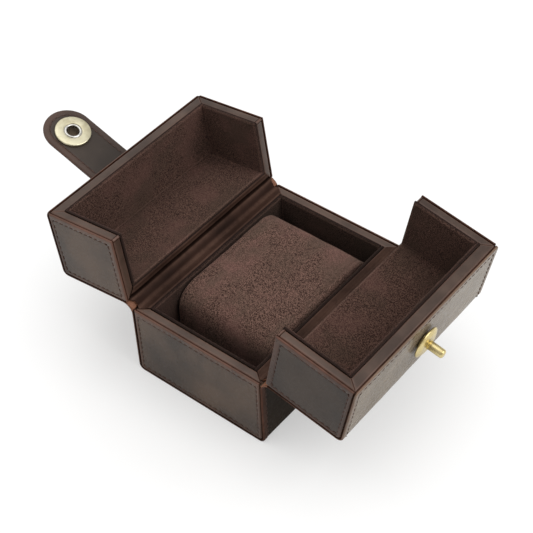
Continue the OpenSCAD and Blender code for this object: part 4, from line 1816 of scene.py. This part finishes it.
@dataclass
class Socket:
    """The socket on the strap: a pressed ring, a rolled eyelet, and a blind cap outside.

    Outlines are points of a radius and a height over the strap's middle plane, towards its outer face.
    """

    strap: Strap

    def turned(
        self, name: str, profile: Sequence[Point], kind: Finish, node: str, slot: str, shaded: int = 0
    ) -> None:
        """Builds one turned piece on the strap.

        Args:
            name: Name of the piece.
            profile: Its outline.
            kind: Its finish.
            node: Node of the solid model that it stands for.
            slot: Material slot of the record; not used.
            shaded: Number of the outline's last lines that get the darker metal of painted shade inside the
                hole.
        """
        shell = Shell()
        shell.lathe(profile, (-self.strap.reach, 0, 0), shaded=shaded)
        piece(name, shell, self.strap.place, [kind, Finish.SHADED_INSIDE], [node], crease=38)

    def ring(self) -> None:
        """Builds the pressed ring, slightly crowned, with rolled outer and inner edges."""
        outer = oval((8.8 - 0.62, -2.02), (0.62, 0.62), -QUARTER)
        crown = [(7.4, -2.73), (6.4, -2.75), (5.4, -2.75)]
        inner = oval((4.75, -2.36), (0.36, 0.38), np.linspace(270, 180, 6))
        under = [(4.39, -1.9), (4.6, -1.9), (8.35, -1.9), (8.4, -1.4), (8.78, -1.4)]
        self.turned("socket_ring_face", outer + crown + inner + under, Finish.GOLD, "socket_ring", "gold")

    def eyelet(self) -> None:
        """Builds the eyelet, rolled over at the rim, with a tube down to the cap."""
        roll = oval((3.62, -2.42), (0.58, 0.50), np.linspace(math.degrees(0.5), -180, 12))
        bore = [(3.02, -2.1), (2.94, -1.6), (2.91, -1.2), (2.91, 5.4)]
        tube = [(3.55, 5.4), (3.55, -1.9)]
        # The bore and the tube get the painted shade inside the hole.
        self.turned("socket_eyelet_roll", roll + bore + tube, Finish.NICKEL, "socket_eyelet", "nickel", 5)

    def cap(self) -> None:
        """Builds the blind cap, whose edge is turned in on the leather."""
        dome = oval((0, 5.35), (4.4, 0.88), np.linspace(90, 0, 8))
        neck = [(4.75, 4.6), (5.5, 3.4), (6.6, 2.55), (7.8, 2.25)]
        rim = oval((8.25, 1.86), (0.52, 0.45), np.linspace(90, 90 - 0.8 * 180, 7))
        under = [(8.3, 1.38), (7.6, 1.6), (6.2, 1.9), (4.9, 2.9), (4.2, 4.3), (3.7, 5.42), (0, 5.42)]
        # The middle of the cap's underside gets the painted shade inside the hole.
        self.turned("socket_cap_dome", dome + neck + rim + under, Finish.GOLD, "socket_cap", "gold", 3)

    def build(self) -> None:
        """Builds the socket."""
        self.ring()
        self.eyelet()
        self.cap()


@dataclass
class Stud:
    """The stud on the right lid: a plate on a boss, and a post with a round tip.

    Outlines are points of a radius and a height over the plate's face.
    """

    x: float = 17.6
    face: float = 84.8

    def turned(self, name: str, profile: Sequence[Point], node: str) -> None:
        """Builds one turned piece on the right lid's top."""
        shell = Shell()
        shell.lathe(profile, (self.x, 0, self.face))
        piece(name, shell, lid_place(Side.RIGHT), [Finish.BRASS], [node], crease=38)

    def build(self) -> None:
        """Builds the plate and the post."""
        rim = oval((7.2, -1.5), (0.5, 0.55), np.linspace(-90, 90, 11))
        crown = [(6.9, -0.78), (6.2, -0.42), (5.4, -0.16), (4.6, -0.04), (3.4, -0.02), (2.6, -0.08)]
        bore = [(2.3, -0.3), (1.62, -0.3), (1.62, -2.98)]
        boss = [(4.15, -2.98), (4.38, -2.8), (4.38, -2.3), (4.6, -2.09)]
        self.turned("stud_plate_turned", rim + crown + bore + boss, "stud_plate")
        tip = oval((0.95, 6.83), (1.15, 1.15), np.linspace(90, 0, 8))
        post = [(0, 8.0), *tip, (2.1, 2.2), (2.1, 0.22), (2.02, 0.02), (1.5, 0.0)]
        shank = [(1.5, -9.2), (2.1, -9.35), (2.35, -9.6), (2.1, -9.78), (0, -9.8)]
        self.turned("stud_post_turned", post + shank, "stud_post")


# ---------------------------------------------------------------- pillow


@dataclass
class Pillow:
    """The suede pillow, which swells as its foam fills the cover."""

    half_x: float = 27.85
    half_y: float = 36.3
    centre_x: float = -0.6
    centre_y: float = 3.3
    low: float = 6.8
    top: float = 39.9
    end_radius: float = 11.0
    side_radius: float = 1.1
    seam: float = 2.9
    slack: float = 0.35
    voxel: float = 1.0
    pressure: float = 4.0
    frames: int = 16
    most_swell: float = 1.6

    @property
    def half(self) -> Array:
        """Half sizes along the three directions."""
        return np.array([self.half_x, self.half_y, (self.top - self.low) / 2])

    @property
    def middle(self) -> Array:
        """The pillow's middle."""
        return np.array([self.centre_x, self.centre_y, (self.top + self.low) / 2])

    def form(self) -> Piece:
        """Makes the pillow's outline, drawn in by the cover's slack, as one closed even mesh."""
        hx, hy, h = self.half - self.slack
        r, edge = self.end_radius - self.slack, self.side_radius - 0.5 * self.slack
        corners = ((hy - r, h - r, 0), (-hy + r, h - r, 90), (-hy + r, -h + r, 180), (hy - r, -h + r, 270))
        outline = np.array([p for y, z, a in corners for p in oval((y, z), (r, r), range(a, a + 91, 9))])
        turns = np.linspace(0, math.pi / 2, 7)
        sections = [(-hx + edge - edge * math.cos(b), edge - edge * math.sin(b)) for b in turns]
        sections += [(-x, d) for x, d in reversed(sections)]
        rows: list[Array] = []
        for x, d in sections:
            shrunk = outline * ((hy - d) / hy, (h - d) / h)
            rows.append(np.column_stack([np.full(len(outline), x), shrunk]) + self.middle)
        n = len(outline)
        index = np.arange(len(sections) * n).reshape(len(sections), n)
        index = np.column_stack([index, index[:, 0]])
        faces = [(a, d, c, b) for a, b, c, d in _quads(index)]
        faces += [tuple(index[0, n - 1 :: -1]), tuple(index[-1, :n])]
        mesh = bpy.data.meshes.new("pillow_form")
        mesh.from_pydata((np.concatenate(rows) * MM).tolist(), [], faces)
        mesh.update()
        made = placed("pillow_form", mesh)
        even = made.modifiers.new("even", "REMESH")
        even.mode, even.voxel_size, even.use_smooth_shade = "VOXEL", self.voxel * MM, True
        return evaluated(made, "pillow_skin")

    def swell(self, skin: Piece) -> None:
        """Fills the cover with a cloth simulation under pressure, and keeps it inside its room."""
        before = corners_of(skin.data)
        cloth = skin.modifiers.new("fill", "CLOTH")
        cloth.settings.quality = 6
        cloth.settings.use_pressure = True
        cloth.settings.uniform_pressure_force = self.pressure
        cloth.settings.tension_stiffness = 25
        cloth.settings.compression_stiffness = 12
        cloth.settings.bending_stiffness = 4
        cloth.settings.effector_weights.gravity = 0
        cloth.collision_settings.use_collision = False
        scene = bpy.context.scene
        for number in range(1, self.frames + 1):
            scene.frame_set(number)
        move = corners_of(skin.evaluated_get(bpy.context.evaluated_depsgraph_get()).data) - before
        skin.modifiers.remove(cloth)
        scene.frame_set(1)
        size = np.linalg.norm(move, axis=1)[:, None]
        move = move * np.minimum(1, self.most_swell * MM / np.maximum(size, 1e-9))
        skin.data.vertices.foreach_set("co", (before + move).ravel())
        LOG.info("pillow: the cover moved up to %.2f mm", float(size.max()) / MM)

    def finish_shape(self, skin: Piece) -> Piece:
        """Smooths the cover, flattens its top a little, and marks its seams."""
        smooth = skin.modifiers.new("smooth", "SUBSURF")
        smooth.levels = smooth.render_levels = 1
        made = evaluated(skin, "pillow_suede_cover")
        p = corners_of(made.data) / MM
        half, middle = self.half, self.middle
        q = p - middle
        seam_width, seam_depth, press, clear = 0.4, 0.5, 0.28, 0.02
        line = np.abs(np.abs(q[:, 0]) - (half[0] - self.seam))
        seam = seam_depth * np.exp(-((line / seam_width) ** 2)) * (np.abs(q[:, 1]) < half[1] + 1)
        top = np.clip((q[:, 2] / half[2] - 0.55) / 0.3, 0, 1)
        ends = np.clip((np.abs(q[:, 1]) / half[1] - 0.6) / 0.3, 0, 1)
        inward = -np.stack([0 * line, q[:, 1] / half[1] * (ends > 0.5), q[:, 2] / half[2]], axis=1)
        inward /= np.maximum(np.linalg.norm(inward, axis=1)[:, None], 1e-6)
        p = p + inward * (seam * np.maximum(top, ends))[:, None]
        wave = 0.20 * ripple(p[:, 0], p[:, 1], 151, 30) + 0.12 * ripple(p[:, 0], p[:, 1], 152, 11)
        p[:, 2] += (wave - press) * top
        p = middle + np.clip(p - middle, -half + clear, half - clear)
        made.data.vertices.foreach_set("co", (p * MM).ravel())
        note_inset(made.data, line + 1.4)
        made.data.polygons.foreach_set("use_smooth", [True] * len(made.data.polygons))
        made.data.update()
        return made

    def build(self) -> None:
        skin = self.form()
        self.swell(skin)
        made = self.finish_shape(skin)
        made.data.materials.clear()
        made.data.materials.append(finish(Finish.PILLOW))
        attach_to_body(made, "pillow")
        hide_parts("pillow_cover", "pillow_core")
        LOG.info("pillow: %d faces", len(made.data.polygons))


# ---------------------------------------------------------------- studio


@dataclass(frozen=True)
class Lamp:
    """A square soft lamp that faces the case. Its place and size are in metres."""

    name: str
    place: tuple[float, float, float]
    size: float
    watts: float

    def build(self) -> None:
        """Adds the lamp."""
        data = bpy.data.lights.new(self.name, "AREA")
        data.shape, data.size, data.energy = "SQUARE", self.size, self.watts
        made = placed(self.name, data)
        made.location = self.place
        aim = Vector((0, 0, 0.03)) - Vector(self.place)
        made.rotation_euler = aim.to_track_quat("-Z", "Y").to_euler()


@dataclass(frozen=True)
class Studio:
    """Pale floor, soft lamps and the camera.

    The eye is in millimetres, the angles are in degrees, and the focal length and the frame are in pixels.
    """

    eye: tuple[float, float, float] = (293.30, -345.01, 501.95)
    azimuth: float = 40.508
    elevation: float = 45.154
    roll: float = -2.765
    focal: float = 1424.013
    frame: float = 533.0
    sensor: float = 36.0
    floor_half: float = 3.0
    floor_drop: float = 0.00005
    glow: float = 1.07
    lift: float = 0.40
    lift_centre: tuple[float, float, float] = (0.0, -0.01, 0.0)
    lift_band: Pair = (0.065, 0.165)
    gloss_share: float = 0.12
    bounce_loss: float = 0.5
    sky_tint: Colour = (1.0, 0.99, 0.975)
    sky_way: tuple[float, float, float] = (-0.8, 0.35, 0.4)
    sky_band: Pair = (-0.8, 0.9)
    sky_levels: Pair = (0.46, 0.74)
    lamps: tuple[Lamp, ...] = (
        Lamp("key", (-0.35, 0.0, 1.6), 1.7, 8.5),
        Lamp("side", (1.25, 0.35, 1.15), 1.4, 15),
    )

    def camera(self) -> None:
        """Places the camera."""
        az, el, r = (math.radians(a) for a in (self.azimuth, self.elevation, self.roll))
        back = Vector((math.sin(az) * math.cos(el), -math.cos(az) * math.cos(el), math.sin(el)))
        level = Vector((math.cos(az), math.sin(az), 0))
        right = math.cos(r) * level + math.sin(r) * back.cross(level)
        data = bpy.data.cameras.new("camera")
        data.sensor_width = self.sensor
        data.lens = self.focal * self.sensor / self.frame
        data.clip_start, data.clip_end = 0.01, 20
        made = placed("camera", data)
        turn = Matrix((right, back.cross(right), back)).transposed().to_4x4()
        made.matrix_world = Matrix.Translation(Vector(self.eye) * MM) @ turn
        bpy.context.scene.camera = made

    def paper(self) -> bpy.types.Material:
        """Makes the floor's material: pale paper, which the camera sees evenly lit away from the case."""
        g = Coat("studio_paper")
        colour = g.blend(g.noise(60.0, 2.0), (0.92, 0.92, 0.915), (0.94, 0.94, 0.935))
        g.shade(Base_Color=colour, Roughness=0.9, Specular_IOR_Level=0.2)
        path = g.node("LightPath").outputs
        away = g.node("VectorMath", {0: g.place(), 1: self.lift_centre}, operation="DISTANCE")
        share = g.ramp(away.outputs["Value"], *self.lift_band, self.lift, 1.0)
        rays = g.maths("MAXIMUM", path["Is Camera Ray"], g.times(path["Is Glossy Ray"], self.gloss_share))
        lit = g.node("Emission", {"Color": (1, 1, 1, 1), "Strength": self.glow}).outputs[0]
        seen = g.node("MixShader", {0: g.times(rays, share), 1: g.shader.outputs[0], 2: lit}).outputs[0]
        dark = g.node("BsdfDiffuse", {"Color": (0.02, 0.02, 0.02, 1)}).outputs[0]
        bounce = g.times(path["Is Diffuse Ray"], self.bounce_loss)
        g.set(g.output.inputs[0], g.node("MixShader", {0: bounce, 1: seen, 2: dark}).outputs[0])
        return g.material

    def floor(self) -> None:
        """Lays the floor."""
        mesh = bpy.data.meshes.new("studio_floor")
        r, z = self.floor_half, -self.floor_drop
        mesh.from_pydata([(-r, -r, z), (r, -r, z), (r, r, z), (-r, r, z)], [], [(0, 1, 2, 3)])
        made = placed("studio_floor", mesh)
        mesh.materials.append(self.paper())

    def world(self) -> None:
        """Sets the surroundings: a pale sky, brighter on one side, and plain white for the camera."""
        world = bpy.data.worlds.new("studio_world")
        world.use_nodes = True
        g = Graph(world.node_tree, "ShaderNode")
        inputs = {0: g.node("TexCoord").outputs["Generated"], 1: Vector(self.sky_way).normalized()}
        towards = g.node("VectorMath", inputs, operation="DOT_PRODUCT").outputs["Value"]
        numbers = dict(enumerate((towards, *self.sky_band, *self.sky_levels)))
        level = g.node("MapRange", numbers).outputs[0]
        sky = g.node("Background", {0: (*self.sky_tint, 1), 1: level}).outputs[0]
        seen = g.node("Background", {0: (1, 1, 1, 1), 1: 1.0}).outputs[0]
        camera_ray = g.node("LightPath").outputs["Is Camera Ray"]
        mix = g.node("MixShader", {0: camera_ray, 1: sky, 2: seen}).outputs[0]
        g.node("OutputWorld", {0: mix})
        bpy.context.scene.world = world

    def build(self) -> None:
        """Builds the studio."""
        self.camera()
        self.floor()
        for lamp in self.lamps:
            lamp.build()
        self.world()
        bpy.context.scene.view_settings.view_transform = "Standard"


# ---------------------------------------------------------------- the whole case


SOLID_FINISHES = {
    "leather": Finish.PANEL,
    "rim_leather": Finish.RIM,
    "suede": Finish.SUEDE,
    "pillow_suede": Finish.PILLOW,
    "foam": Finish.FOAM,
    "board": Finish.BOARD,
    "gold": Finish.GOLD,
    "nickel": Finish.NICKEL,
    "steel": Finish.STEEL,
    "magnet": Finish.STEEL,
}


def dress_solids() -> None:
    """Gives each solid of the model its finish, by its material slot in the record."""
    slots = {part["node"]: part["material_slot"] for part in frame["record"]["subparts"]}
    for name, node in frame["nodes"].items():
        node.data.materials.clear()
        node.data.materials.append(finish(SOLID_FINISHES[slots[name]]))


def main() -> None:
    """Builds the dressed case and its studio."""
    logging.basicConfig(level=logging.INFO, format="%(message)s")
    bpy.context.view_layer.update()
    dress_solids()
    Studio().build()
    Base().build()
    for side in Side:
        Lid(side).build()
        Hinge(side).build()
    strap = Strap()
    strap.build()
    Socket(strap).build()
    Stud().build()
    Pillow().build()
    STITCHES.sew()


if __name__ == "__main__":
    main()
